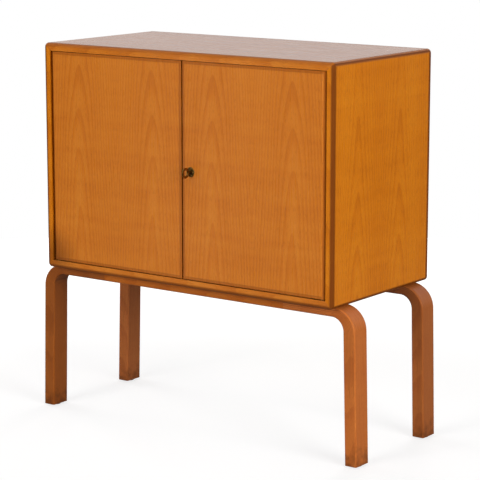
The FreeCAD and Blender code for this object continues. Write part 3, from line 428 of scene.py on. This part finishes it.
def makeCaseVeneer(name, finish, axes):
    material, tree, shader = newMaterial(name)
    place = addNode(tree, "ShaderNodeTexCoord").outputs["Object"]
    parts = addNode(tree, "ShaderNodeSeparateXYZ", {0: place}).outputs
    along, across, through = (parts[letter] for letter in axes)
    leaf = addNode(tree, "ShaderNodeMath", {0: across, 1: caseVeneer["leafWidth"]}, operation="PINGPONG")
    colour = grainColour(tree, shader, finish, leaf, through, along)

    # Distance from the case's nearest outer edge: the middle one of the distances from its faces
    low, high = caseCorners()
    offset = addNode(tree, "ShaderNodeVectorMath", {0: place, 1: (low + high) / 2}, operation="SUBTRACT")
    reach = addNode(tree, "ShaderNodeVectorMath", {0: offset}, operation="ABSOLUTE")
    depth = addNode(tree, "ShaderNodeVectorMath", {0: (high - low) / 2, 1: reach}, operation="SUBTRACT")
    deep = addNode(tree, "ShaderNodeSeparateXYZ", {0: depth}).outputs
    lesser = addNode(tree, "ShaderNodeMath", {0: deep["X"], 1: deep["Y"]}, operation="MINIMUM")
    greater = addNode(tree, "ShaderNodeMath", {0: deep["X"], 1: deep["Y"]}, operation="MAXIMUM")
    third = addNode(tree, "ShaderNodeMath", {0: greater, 1: deep["Z"]}, operation="MINIMUM")
    edge = addNode(tree, "ShaderNodeMath", {0: lesser, 1: third}, operation="MAXIMUM")
    # Painted shade along the rounded outer edges; the same mask dulls their polish
    shadedEdge = addNode(tree, "ShaderNodeMapRange", {
        "Value": edge, "From Min": caseVeneer["edgeWidth"], "From Max": caseVeneer["edgeWidth"] / 2,
        "To Max": finish["edgeDepth"],
    }, interpolation_type="SMOOTHSTEP")
    colour = addNode(tree, "ShaderNodeMix", {
        0: shadedEdge, 6: colour, 7: toLinear(caseVeneer["paintedEdgeShade"]),
    }, data_type="RGBA").outputs[2]
    polish = shader.inputs["Roughness"].links[0].from_socket
    dulled = addNode(tree, "ShaderNodeMix", {0: shadedEdge, 2: polish, 3: caseVeneer["edgeRough"]})
    tree.links.new(dulled.outputs[0], shader.inputs["Roughness"])
    colour = rubEdges(tree, colour, place, edge, wornEdges["casePatches"])
    lowerLeftSpot = low + Vector(polishMarks["lowerLeftPatch"]["fromCorner"])
    colour = darkenAbout(tree, colour, place, lowerLeftSpot, polishMarks["lowerLeftPatch"])

    nearest = addNode(tree, "ShaderNodeMath", {0: lesser, 1: deep["Z"]}, operation="MINIMUM")
    varnishInside(tree, shader, colour, nearest, high.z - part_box("top_panel")[0].z)
    return material


# Doors: veneer opened like a book from the meeting edge, solid edge strips all round, worn dark about the key
doorFace = {
    "leafWidth": 0.19,
    "stripWidth": 0.007,
    "stripBlur": 0.001,
    # The strips are drawn dark partly as their own colour and partly as painted shade of the gaps round the
    # doors
    "stripAndGapShade": "#7E3C0E",
    "stripDepth": 0.5,
}


def makeDoorVeneer():
    material, tree, shader = newMaterial("stained_birch_door_veneer")
    low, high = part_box("right_door")
    place = addNode(tree, "ShaderNodeTexCoord").outputs["Object"]
    parts = addNode(tree, "ShaderNodeSeparateXYZ", {0: place}).outputs
    across = addNode(tree, "ShaderNodeMath", {0: parts["X"]}, operation="ABSOLUTE")
    leaf = addNode(tree, "ShaderNodeMath", {0: across, 1: doorFace["leafWidth"]}, operation="PINGPONG")
    colour = grainColour(tree, shader, stainedBirch, leaf, parts["Y"], parts["Z"])

    # Distance from the nearest edge of the door, for the strips
    inset = None
    for start, end in ((low.x, across), (across, high.x), (low.z, parts["Z"]), (parts["Z"], high.z)):
        step = addNode(tree, "ShaderNodeMath", {0: end, 1: start}, operation="SUBTRACT")
        if inset is not None:
            step = addNode(tree, "ShaderNodeMath", {0: step, 1: inset}, operation="MINIMUM")
        inset = step
    # Edge strips drawn darker: their own colour and painted shade of the gaps beside them
    strip = addNode(tree, "ShaderNodeMapRange", {
        "Value": inset, "From Min": doorFace["stripWidth"],
        "From Max": doorFace["stripWidth"] - doorFace["stripBlur"],
        "To Max": doorFace["stripDepth"],
    }, interpolation_type="SMOOTHSTEP")
    colour = addNode(tree, "ShaderNodeMix", {
        0: strip, 6: colour, 7: toLinear(doorFace["stripAndGapShade"]),
    }, data_type="RGBA").outputs[2]

    keyLow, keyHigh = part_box("escutcheon")
    colour = darkenAbout(tree, colour, place, (keyLow + keyHigh) / 2, polishMarks["fingers"])
    lowerLeftSpot = caseCorners()[0] + Vector(polishMarks["lowerLeftPatch"]["fromCorner"])
    colour = darkenAbout(tree, colour, place, lowerLeftSpot, polishMarks["lowerLeftPatch"])
    varnishInside(tree, shader, colour, parts["Y"], high.y)
    return material


# Bent legs: solid birch, sawn into leaves from the top and glued again round the bend, where glue lines show
bentLeg = {
    "outerRadius": 0.054,
    "thickness": 0.030,
    "splay": 0.009,  # how far the foot stands outside the bend
    "bendLine": 0.8,  # share of the outer radius where the length round the bend is measured
    "glueSpacing": 0.0035,
    "glueWidth": 0.0006,
    "glueShade": "#5E2E0D",
    "glueDepth": 0.55,
    "sawnTo": 0.155,  # height where the saw cuts end, with some unevenness
    "sawnSpread": 0.03,
    "scuffShade": "#4A2408",
    "scuffTop": 0.105, "scuffCore": 0.05,  # height plus spread where scuffs begin and where they are full
    "scuffSpread": 0.12,
    "scuffPatches": 60.0,  # to the metre
    "scuffDepth": 0.6,
    "legLightAndShade": {  # painted light and shade on each leg: how pale it is drawn and how saturated
        "front_left_leg": (0.71, 0.985), "front_right_leg": (1.19, 0.97),
        "rear_left_leg": (1.11, 0.95), "rear_right_leg": (0.87, 0.96),
    },
}


def makeBentLegWood(leg):
    material, tree, shader = newMaterial("stained_birch_bent_" + leg)
    low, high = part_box("front_right_leg")
    centreX = high.x - bentLeg["splay"] - bentLeg["outerRadius"]
    centreZ = high.z - bentLeg["outerRadius"]
    place = addNode(tree, "ShaderNodeTexCoord").outputs["Object"]
    parts = addNode(tree, "ShaderNodeSeparateXYZ", {0: place}).outputs
    sideX = addNode(tree, "ShaderNodeMath", {0: parts["X"]}, operation="ABSOLUTE")
    drop = addNode(tree, "ShaderNodeMath", {0: parts["Z"], 1: high.z}, operation="SUBTRACT")
    # The splay taken out, then measured from the middle of the bend
    plumbX = addNode(tree, "ShaderNodeMath", {
        0: drop, 1: bentLeg["splay"] / (high.z - low.z), 2: sideX,
    }, operation="MULTIPLY_ADD")
    overX = addNode(tree, "ShaderNodeMath", {0: plumbX, 1: centreX}, operation="SUBTRACT")
    overZ = addNode(tree, "ShaderNodeMath", {0: parts["Z"], 1: centreZ}, operation="SUBTRACT")
    outX = addNode(tree, "ShaderNodeMath", {0: overX, 1: 0.0}, operation="MAXIMUM")
    outZ = addNode(tree, "ShaderNodeMath", {0: overZ, 1: 0.0}, operation="MAXIMUM")
    corner = addNode(tree, "ShaderNodeCombineXYZ", {0: outX, 1: outZ})
    radius = addNode(tree, "ShaderNodeVectorMath", {0: corner}, operation="LENGTH").outputs["Value"]
    swing = addNode(tree, "ShaderNodeMath", {0: outZ, 1: outX}, operation="ARCTAN2")

    # Length along the leg: up the upright, round the bend, then along the arm
    upright = addNode(tree, "ShaderNodeMath", {0: parts["Z"], 1: centreZ}, operation="MINIMUM")
    bend = addNode(tree, "ShaderNodeMath", {
        0: swing, 1: bentLeg["bendLine"] * bentLeg["outerRadius"], 2: upright,
    }, operation="MULTIPLY_ADD")
    arm = addNode(tree, "ShaderNodeMath", {0: overX, 1: 0.0}, operation="MINIMUM")
    along = addNode(tree, "ShaderNodeMath", {0: bend, 1: arm}, operation="SUBTRACT")
    colour = grainColour(tree, shader, bentBirch, parts["Y"], radius, along)
    # Painted light and shade: the front left leg darker where the case shades it, the front right one paler
    # where lit
    paleness, legSaturation = bentLeg["legLightAndShade"][leg]
    colour = addNode(tree, "ShaderNodeHueSaturation", {
        "Value": paleness, "Saturation": legSaturation, "Color": colour,
    })

    # Glue lines at even depths under the outer face, down to the uneven ends of the saw cuts
    depth = addNode(tree, "ShaderNodeMath", {0: bentLeg["outerRadius"], 1: radius}, operation="SUBTRACT")
    count = addNode(tree, "ShaderNodeMath", {0: depth, 1: bentLeg["glueSpacing"]}, operation="DIVIDE")
    nearest = addNode(tree, "ShaderNodeMath", {0: count}, operation="ROUND")
    offset = addNode(tree, "ShaderNodeMath", {0: count, 1: nearest}, operation="SUBTRACT")
    gap = addNode(tree, "ShaderNodeMath", {0: offset}, operation="ABSOLUTE")
    half = bentLeg["glueWidth"] / bentLeg["glueSpacing"] / 2
    line = addNode(tree, "ShaderNodeMapRange", {
        "Value": gap, "From Min": 2 * half, "From Max": half, "To Max": bentLeg["glueDepth"],
    }, interpolation_type="SMOOTHSTEP")
    inner = addNode(tree, "ShaderNodeMath", {0: nearest, 1: 0.5}, operation="GREATER_THAN")
    spread = addNode(tree, "ShaderNodeTexWhiteNoise", {"W": nearest}, noise_dimensions="1D")
    sawnTo = addNode(tree, "ShaderNodeMath", {0: spread, 1: bentLeg["sawnSpread"], 2: bentLeg["sawnTo"]},
                     operation="MULTIPLY_ADD")
    sawn = addNode(tree, "ShaderNodeMath", {0: parts["Z"], 1: sawnTo}, operation="GREATER_THAN")
    glue = addNode(tree, "ShaderNodeMath", {0: line, 1: inner}, operation="MULTIPLY")
    glue = addNode(tree, "ShaderNodeMath", {0: glue, 1: sawn}, operation="MULTIPLY")
    colour = addNode(tree, "ShaderNodeMix", {
        0: glue, 6: colour, 7: toLinear(bentLeg["glueShade"]),
    }, data_type="RGBA").outputs[2]

    # Distance from the nearest edge of the leg's cross section
    middle = sum(corner.y for name in ("front_right_leg", "rear_right_leg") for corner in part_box(name)) / 4
    legOut = middle - (low.y + high.y) / 2
    fromMiddle = addNode(tree, "ShaderNodeMath", {0: parts["Y"], 1: middle}, operation="SUBTRACT")
    apart = addNode(tree, "ShaderNodeMath", {0: fromMiddle}, operation="ABSOLUTE")
    legMiddle = addNode(tree, "ShaderNodeMath", {0: apart, 1: legOut}, operation="SUBTRACT")
    legAside = addNode(tree, "ShaderNodeMath", {0: legMiddle}, operation="ABSOLUTE")
    flank = addNode(tree, "ShaderNodeMath", {0: (high.y - low.y) / 2, 1: legAside}, operation="SUBTRACT")
    far = addNode(tree, "ShaderNodeMath", {0: bentLeg["thickness"], 1: depth}, operation="SUBTRACT")
    face = addNode(tree, "ShaderNodeMath", {0: depth, 1: far}, operation="MINIMUM")
    edge = addNode(tree, "ShaderNodeMath", {0: flank, 1: face}, operation="MAXIMUM")
    colour = rubEdges(tree, colour, place, edge, wornEdges["legPatches"])

    # Scuffs from brooms and shoes near the floor
    kicks = addNode(tree, "ShaderNodeTexNoise", {
        "Vector": place, "Scale": bentLeg["scuffPatches"], "Detail": 5.0,
    })
    knocked = addNode(tree, "ShaderNodeMath", {0: kicks, 1: bentLeg["scuffSpread"], 2: parts["Z"]},
                      operation="MULTIPLY_ADD")
    scuffed = addNode(tree, "ShaderNodeMapRange", {
        "Value": knocked, "From Min": bentLeg["scuffTop"], "From Max": bentLeg["scuffCore"],
        "To Max": bentLeg["scuffDepth"],
    }, interpolation_type="SMOOTHSTEP")
    colour = addNode(tree, "ShaderNodeMix", {
        0: scuffed, 6: colour, 7: toLinear(bentLeg["scuffShade"]),
    }, data_type="RGBA").outputs[2]
    tree.links.new(colour, shader.inputs["Base Color"])
    return material


# Turned and filed brass: a dull gold where it is rubbed, brown bloom elsewhere, fine file marks. The key and
# its plate have gone brown in use, the fittings behind the doors have kept their colour.
handledBrass = {
    "rubbed": "#B08C48", "bloom": "#6E5228", "roughRubbed": 0.3, "roughBloom": 0.5,
    "bloomPatches": 160.0,  # to the metre
    "bloomSpan": (0.3, 0.72),  # noise values between which the bloom sets in
    "fileMarks": (300.0, 300.0, 2500.0),  # to the metre, along each axis
    "fileStrength": 0.1, "fileDepth": 0.0002,
}
fittingBrass = dict(handledBrass, rubbed="#ECCB82", bloom="#C79E58", roughBloom=0.46)


def makeBrass(name, finish):
    material, tree, shader = newMaterial(name)
    place = addNode(tree, "ShaderNodeTexCoord").outputs["Object"]
    bloom = addNode(tree, "ShaderNodeTexNoise", {
        "Vector": place, "Scale": finish["bloomPatches"], "Detail": 5.0,
    })
    tarnish = addNode(tree, "ShaderNodeMapRange", {
        "Value": bloom, "From Min": finish["bloomSpan"][0], "From Max": finish["bloomSpan"][1],
    }, interpolation_type="SMOOTHSTEP")
    colour = addNode(tree, "ShaderNodeMix", {
        0: tarnish, 6: toLinear(finish["rubbed"]), 7: toLinear(finish["bloom"]),
    }, data_type="RGBA").outputs[2]
    rough = addNode(tree, "ShaderNodeMapRange", {
        "Value": tarnish, "To Min": finish["roughRubbed"], "To Max": finish["roughBloom"],
    })
    filed = addNode(tree, "ShaderNodeVectorMath", {0: place, 1: finish["fileMarks"]}, operation="MULTIPLY")
    marks = addNode(tree, "ShaderNodeTexNoise", {"Vector": filed, "Scale": 1.0})
    relief = addNode(tree, "ShaderNodeBump", {
        "Height": marks, "Strength": finish["fileStrength"], "Distance": finish["fileDepth"],
    })
    tree.links.new(colour, shader.inputs["Base Color"])
    tree.links.new(rough.outputs[0], shader.inputs["Roughness"])
    tree.links.new(relief.outputs[0], shader.inputs["Normal"])
    shader.inputs["Metallic"].default_value = 1.0
    return material


# Drawn mild steel, lightly oxidised: grey with warm brown freckles
mildSteel = {
    "clean": "#C6C4BE", "rusty": "#86694E", "roughClean": 0.36, "roughRusty": 0.7,
    "freckles": 260.0,  # to the metre
    "freckleSpan": (0.52, 0.72), "rustDepth": 0.6,
}


def makeSteel():
    material, tree, shader = newMaterial("mild_steel")
    place = addNode(tree, "ShaderNodeTexCoord").outputs["Object"]
    freckle = addNode(tree, "ShaderNodeTexNoise", {
        "Vector": place, "Scale": mildSteel["freckles"], "Detail": 3.0,
    })
    rust = addNode(tree, "ShaderNodeMapRange", {
        "Value": freckle, "From Min": mildSteel["freckleSpan"][0], "From Max": mildSteel["freckleSpan"][1],
        "To Max": mildSteel["rustDepth"],
    }, interpolation_type="SMOOTHSTEP")
    colour = addNode(tree, "ShaderNodeMix", {
        0: rust, 6: toLinear(mildSteel["clean"]), 7: toLinear(mildSteel["rusty"]),
    }, data_type="RGBA").outputs[2]
    rough = addNode(tree, "ShaderNodeMapRange", {
        "Value": rust, "To Min": mildSteel["roughClean"], "To Max": mildSteel["roughRusty"],
    })
    tree.links.new(colour, shader.inputs["Base Color"])
    tree.links.new(rough.outputs[0], shader.inputs["Roughness"])
    shader.inputs["Metallic"].default_value = 1.0
    return material


# Moulded polyethylene glides: dark brown, slightly waxy, scuffed
glidePlastic = {
    "dark": "#2A201A", "scuffed": "#4A3A2E", "roughDark": 0.4, "roughScuffed": 0.65, "ior": 1.51,
    "scuffs": 340.0,  # to the metre
}


def makeGlidePlastic():
    material, tree, shader = newMaterial("moulded_polyethylene")
    place = addNode(tree, "ShaderNodeTexCoord").outputs["Object"]
    scuff = addNode(tree, "ShaderNodeTexNoise", {
        "Vector": place, "Scale": glidePlastic["scuffs"], "Detail": 3.0,
    })
    colour = addNode(tree, "ShaderNodeMix", {
        0: scuff, 6: toLinear(glidePlastic["dark"]), 7: toLinear(glidePlastic["scuffed"]),
    }, data_type="RGBA").outputs[2]
    rough = addNode(tree, "ShaderNodeMapRange", {
        "Value": scuff, "To Min": glidePlastic["roughDark"], "To Max": glidePlastic["roughScuffed"],
    })
    tree.links.new(colour, shader.inputs["Base Color"])
    tree.links.new(rough.outputs[0], shader.inputs["Roughness"])
    shader.inputs["IOR"].default_value = glidePlastic["ior"]
    return material


# Pressed wool felt: grey green, fuzzy, no gloss
woolFelt = {
    "dark": "#3F4A3C", "pale": "#66705E", "rough": 0.95, "sheen": 0.4,
    "fibres": 1400.0,  # to the metre
    "fuzzStrength": 0.6, "fuzzHeight": 0.0005,
}


def makeFelt():
    material, tree, shader = newMaterial("pressed_wool_felt")
    place = addNode(tree, "ShaderNodeTexCoord").outputs["Object"]
    fuzz = addNode(tree, "ShaderNodeTexNoise", {"Vector": place, "Scale": woolFelt["fibres"], "Detail": 2.0})
    colour = addNode(tree, "ShaderNodeMix", {
        0: fuzz, 6: toLinear(woolFelt["dark"]), 7: toLinear(woolFelt["pale"]),
    }, data_type="RGBA").outputs[2]
    relief = addNode(tree, "ShaderNodeBump", {
        "Height": fuzz, "Strength": woolFelt["fuzzStrength"], "Distance": woolFelt["fuzzHeight"],
    })
    tree.links.new(colour, shader.inputs["Base Color"])
    tree.links.new(relief.outputs[0], shader.inputs["Normal"])
    shader.inputs["Roughness"].default_value = woolFelt["rough"]
    shader.inputs["Sheen Weight"].default_value = woolFelt["sheen"]
    return material


def dressNodes(brass, steel):
    finishes = {
        makeDoorVeneer(): ["left_door", "right_door"],
        makeCaseVeneer("stained_birch_side_veneer", sideBirch, "ZYX"): [
            "left_side_panel", "right_side_panel"],
        makeCaseVeneer("stained_birch_top_veneer", polishedTop, "XYZ"): ["top_panel"],
        makeCaseVeneer("stained_birch_bottom_veneer", bottomBirch, "XYZ"): ["bottom_panel"],
        **{makeBentLegWood(leg): [leg] for leg in bentLeg["legLightAndShade"]},
        makeBoard("stained_birch_rail", bentBirch, "XYZ"): ["front_rail", "rear_rail"],
        makeBoard("plain_birch_upright", innerBirch, "ZYX"): ["partition", "partition_dowels"],
        makeBoard("plain_birch_level", innerBirch, "XYZ"): [
            "lower_shelf", "upper_shelf", "mitre_tongues", "rail_dowels"],
        makeBoard("plain_birch_standing", standingBirch, "XZY"): [
            "fold_out_shelf", "shelf_rail", "knuckle_rail", "fly_support"],
        makeBoard("birch_plywood", peeledBirch, "XZY"): ["back_panel"],
        brass: ["shelf_pins", "left_pivot_plates", "right_pivot_plates", "left_door_pivot_plates",
                "right_door_pivot_plates", "bolt_keepers", "bolt_guides", "upper_bolt", "lower_bolt",
                "lock_case", "lock_cover", "lock_bolt", "lock_strike", "shelf_hinge_rail_leaves",
                "shelf_hinge_flap_leaves"],
        makeBrass("handled_brass", handledBrass): ["escutcheon", "key"],
        steel: ["back_panel_screws", "leg_screws", "shelf_hinge_pins", "fly_pin"],
        makeGlidePlastic(): ["foot_glides"],
        makeFelt(): ["shelf_rest_pads"],
    }
    for material, names in finishes.items():
        for name in names:
            slots = nodes[name].data.materials
            slots.clear()
            slots.append(material)
    bare = set(nodes) - {name for names in finishes.values() for name in names}
    print("dressed:", len(nodes) - len(bare), "nodes; without finish:", sorted(bare))


# Slotted wood screws: raised countersunk heads, each turned its own way. Sizes in metres.
screwSorts = {
    "legScrews": {"head": 0.005, "shank": 0.0025, "length": 0.034, "crown": 0.0004, "seed": 3},
    "backScrews": {"head": 0.0035, "shank": 0.00175, "length": 0.018, "crown": 0.0003, "seed": 5},
    "fittingScrews": {"head": 0.0021, "shank": 0.001, "length": 0.006, "crown": 0.0002, "seed": 8},
}
screwForm = {  # shares of the head's or shank's radius, or of the countersink's depth
    "sides": 24,
    "crownTop": 0.72,
    "pointLength": 2.0, "pointTip": 0.2,
    "bladeLength": 2.4, "bladeWidth": 0.26, "bladeHeight": 1.1,  # of the cutter that makes the slot
    "weld": 0.000002,  # metres
}
screwPlaces = {
    "armNear": 0.036, "armFar": 0.112,  # along a leg's arm from its joint with the rail
    "railStep": 0.16,
    "backInset": 0.0689, "backMargin": 0.0044, "backMiddle": 0.06,
    "guideAcross": 0.0078, "guideAlong": 0.025, "guideLength": 0.064, "guidePlate": 0.002,
    "keeperDiagonal": 0.0068,
    "coverInset": 0.005,
    "strikeAlong": 0.0115,
    "keyPlate": 0.0074,
    "leafSteps": (0.01, 0.03, 0.05), "leafLength": 0.06, "leafInset": 0.0045,
    "pivotSteps": (0.0225, 0.0375),  # along a pivot plate from its outer end
}


def makeScrewTree():
    tree = bpy.data.node_groups.new("slottedScrews", "GeometryNodeTree")
    tree.interface.new_socket("Points", in_out="INPUT", socket_type="NodeSocketGeometry")
    for name in ("head", "shank", "length", "crown"):
        tree.interface.new_socket(name, in_out="INPUT", socket_type="NodeSocketFloat")
    tree.interface.new_socket("seed", in_out="INPUT", socket_type="NodeSocketInt")
    tree.interface.new_socket("metal", in_out="INPUT", socket_type="NodeSocketMaterial")
    tree.interface.new_socket("Screws", in_out="OUTPUT", socket_type="NodeSocketGeometry")
    given = addNode(tree, "NodeGroupInput").outputs

    # Crowned head upwards, then the countersink, the shank and the point downwards from the same rim
    rim = addNode(tree, "GeometryNodeMeshCircle", {"Vertices": screwForm["sides"], "Radius": given["head"]},
                  fill_type="NGON")
    crown = addNode(tree, "GeometryNodeExtrudeMesh", {"Mesh": rim, "Offset Scale": given["crown"]},
                    mode="FACES")
    head = addNode(tree, "GeometryNodeScaleElements", {
        "Geometry": crown, "Selection": crown.outputs["Top"], "Scale": screwForm["crownTop"],
    }, domain="FACE")
    sink = addNode(tree, "ShaderNodeMath", {0: given["head"], 1: given["shank"]}, operation="SUBTRACT")
    neck = addNode(tree, "ShaderNodeMath", {0: given["shank"], 1: given["head"]}, operation="DIVIDE")
    point = addNode(tree, "ShaderNodeMath", {0: given["shank"], 1: screwForm["pointLength"]},
                    operation="MULTIPLY")
    stem = addNode(tree, "ShaderNodeMath", {0: given["length"], 1: sink}, operation="SUBTRACT")
    stem = addNode(tree, "ShaderNodeMath", {0: stem, 1: point}, operation="SUBTRACT")
    body = addNode(tree, "GeometryNodeFlipFaces", {"Mesh": rim})
    end = True
    for reach, narrowing in ((sink, neck), (stem, 1.0), (point, screwForm["pointTip"])):
        step = addNode(tree, "GeometryNodeExtrudeMesh", {
            "Mesh": body, "Selection": end, "Offset Scale": reach,
        }, mode="FACES")
        end = step.outputs["Top"]
        body = addNode(tree, "GeometryNodeScaleElements", {
            "Geometry": step, "Selection": end, "Scale": narrowing,
        }, domain="FACE")
    joined = addNode(tree, "GeometryNodeJoinGeometry")
    for half in (head, body):
        tree.links.new(half.outputs[0], joined.inputs[0])
    whole = addNode(tree, "GeometryNodeMergeByDistance", {"Geometry": joined, "Distance": screwForm["weld"]})

    # The slot, cut by a blade whose middle lies at the top of the crown
    bladeLength = addNode(tree, "ShaderNodeMath", {0: given["head"], 1: screwForm["bladeLength"]},
                          operation="MULTIPLY")
    bladeWidth = addNode(tree, "ShaderNodeMath", {0: given["head"], 1: screwForm["bladeWidth"]},
                         operation="MULTIPLY")
    bladeHeight = addNode(tree, "ShaderNodeMath", {0: sink, 1: screwForm["bladeHeight"], 2: given["crown"]},
                          operation="MULTIPLY_ADD")
    slotSize = addNode(tree, "ShaderNodeCombineXYZ", {0: bladeLength, 1: bladeWidth, 2: bladeHeight})
    slotLift = addNode(tree, "ShaderNodeCombineXYZ", {2: given["crown"]})
    blade = addNode(tree, "GeometryNodeMeshCube", {"Size": slotSize})
    lifted = addNode(tree, "GeometryNodeTransform", {"Geometry": blade, "Translation": slotLift})
    slotted = addNode(tree, "GeometryNodeMeshBoolean", {"Mesh 1": whole, "Mesh 2": lifted},
                      operation="DIFFERENCE")

    aim = addNode(tree, "GeometryNodeInputNamedAttribute", {"Name": "aim"}, data_type="FLOAT_VECTOR")
    facing = addNode(tree, "FunctionNodeAlignRotationToVector", {"Vector": aim}, axis="Z")
    turn = addNode(tree, "FunctionNodeRandomValue", {2: 0.0, 3: math.pi, "Seed": given["seed"]},
                   data_type="FLOAT")
    twist = addNode(tree, "FunctionNodeAxisAngleToRotation", {"Axis": (0, 0, 1), "Angle": turn.outputs[1]})
    turned = addNode(tree, "FunctionNodeRotateRotation", {0: facing, 1: twist}, rotation_space="LOCAL")
    spread = addNode(tree, "GeometryNodeInstanceOnPoints", {
        "Points": given["Points"], "Instance": slotted, "Rotation": turned,
    })
    real = addNode(tree, "GeometryNodeRealizeInstances", {"Geometry": spread})
    plated = addNode(tree, "GeometryNodeSetMaterial", {"Geometry": real, "Material": given["metal"]})
    addNode(tree, "NodeGroupOutput", {"Screws": plated})
    return tree


def driveScrews(name, sort, spots, metal):
    # Each spot is a place on the surface and the direction that the head faces.
    points = bpy.data.meshes.new(name)
    points.from_pydata([place for place, aim in spots], [], [])
    aims = points.attributes.new("aim", "FLOAT_VECTOR", "POINT")
    aims.data.foreach_set("vector", [number for place, aim in spots for number in aim])
    piece = bpy.data.objects.new(name, points)
    scene.collection.objects.link(piece)
    modifier = piece.modifiers.new("screws", "NODES")
    modifier.node_group = screwTree
    values = dict(screwSorts[sort], metal=metal)
    for socket in screwTree.interface.items_tree:
        if socket.name in values:
            modifier[socket.identifier] = values[socket.name]
    graph = bpy.context.evaluated_depsgraph_get()
    finished = bpy.data.meshes.new_from_object(piece.evaluated_get(graph), depsgraph=graph)
    piece.modifiers.remove(modifier)
    piece.data = finished
    bpy.data.meshes.remove(points)
    print("screws:", name, len(spots))
    return piece


def makeScrews(brass, steel):
    at = screwPlaces
    ends = (-1, 1)
    legSpots = []
    for rail in ("front_rail", "rear_rail"):
        low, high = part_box(rail)
        across = [step * at["railStep"] for step in (-1, 0, 1)]
        across += [side * (high.x + reach) for side in ends for reach in (at["armNear"], at["armFar"])]
        sunk = low.z + screwSorts["legScrews"]["crown"]
        legSpots += [((x, (low.y + high.y) / 2, sunk), (0, 0, -1)) for x in across]
    low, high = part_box("back_panel")
    sunk = high.y - screwSorts["backScrews"]["crown"]
    levels = (low.z + at["backInset"], (low.z + high.z) / 2, high.z - at["backInset"])
    rows = [(side * (high.x - at["backMargin"]), level) for side in ends for level in levels]
    for level in (low.z + at["backMargin"], high.z - at["backMargin"]):
        rows += [(side * x, level) for side in ends for x in (at["backMiddle"], high.x - at["backInset"])]
    backSpots = [((x, sunk, z), (0, 1, 0)) for x, z in rows]

    # Small brass screws of the fittings, by the body that they move with
    small = {"carcass": [], "left_door": [], "right_door": [], "fold_out_shelf": []}
    low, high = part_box("bolt_guides")
    for centre in (low.z + at["guideLength"] / 2, high.z - at["guideLength"] / 2):
        for side in ends:
            for rise in ends:
                spot = ((low.x + high.x) / 2 + side * at["guideAcross"], low.y + at["guidePlate"],
                        centre + rise * at["guideAlong"])
                small["left_door"].append((spot, (0, 1, 0)))
    low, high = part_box("bolt_keepers")
    floorLevel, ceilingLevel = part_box("partition")[0].z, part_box("partition")[1].z
    for level, facing in ((floorLevel, 1), (ceilingLevel, -1)):
        for side in ends:
            spot = ((low.x + high.x) / 2 + side * at["keeperDiagonal"],
                    (low.y + high.y) / 2 + side * at["keeperDiagonal"], level)
            small["carcass"].append((spot, (0, 0, facing)))
    low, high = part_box("lock_cover")
    for x in (low.x + at["coverInset"], high.x - at["coverInset"]):
        for z in (low.z + at["coverInset"], high.z - at["coverInset"]):
            small["right_door"].append(((x, high.y, z), (0, 1, 0)))
    low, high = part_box("lock_strike")
    for rise in ends:
        spot = (high.x, (low.y + high.y) / 2, (low.z + high.z) / 2 + rise * at["strikeAlong"])
        small["left_door"].append((spot, (1, 0, 0)))
    low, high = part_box("escutcheon")
    for side in ends:
        spot = ((low.x + high.x) / 2 + side * at["keyPlate"], low.y, (low.z + high.z) / 2)
        small["right_door"].append((spot, (0, -1, 0)))
    for node, body, facing in (("shelf_hinge_rail_leaves", "right_door", 1),
                               ("shelf_hinge_flap_leaves", "fold_out_shelf", -1)):
        low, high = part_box(node)
        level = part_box("shelf_rail")[1].z if facing > 0 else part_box("fold_out_shelf")[0].z
        for start in (low.x, high.x - at["leafLength"]):
            for step in at["leafSteps"]:
                small[body].append(((start + step, low.y + at["leafInset"], level), (0, 0, facing)))
    for hand, side in (("left", -1), ("right", 1)):
        for node, body, faces in (
            (hand + "_pivot_plates", "carcass", ((floorLevel, 1), (ceilingLevel, -1))),
            (hand + "_door_pivot_plates", hand + "_door", None),
        ):
            low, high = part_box(node)
            if faces is None:
                faces = ((low.z, -1), (high.z, 1))
            start = max(abs(low.x), abs(high.x))
            for level, facing in faces:
                for step in at["pivotSteps"]:
                    spot = (side * (start - step), (low.y + high.y) / 2, level)
                    small[body].append((spot, (0, 0, facing)))

    pieces = {
        driveScrews("slotted_leg_screws", "legScrews", legSpots, steel): ("carcass", "steel", "leg_screws"),
        driveScrews("slotted_back_screws", "backScrews", backSpots, steel): (
            "carcass", "steel", "back_panel_screws"),
    }
    for body, spots in small.items():
        pieces[driveScrews(body + "_fitting_screws", "fittingScrews", spots, brass)] = (body, "brass", None)
    for piece, (body, finish, node) in pieces.items():
        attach(piece, body)
        if node:
            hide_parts(node)
    print("screws driven:", len(legSpots) + len(backSpots) + sum(len(spots) for spots in small.values()))


makeCamera()
makeStudio()
brass = makeBrass("fitting_brass", fittingBrass)
steel = makeSteel()
dressNodes(brass, steel)
screwTree = makeScrewTree()
makeScrews(brass, steel)
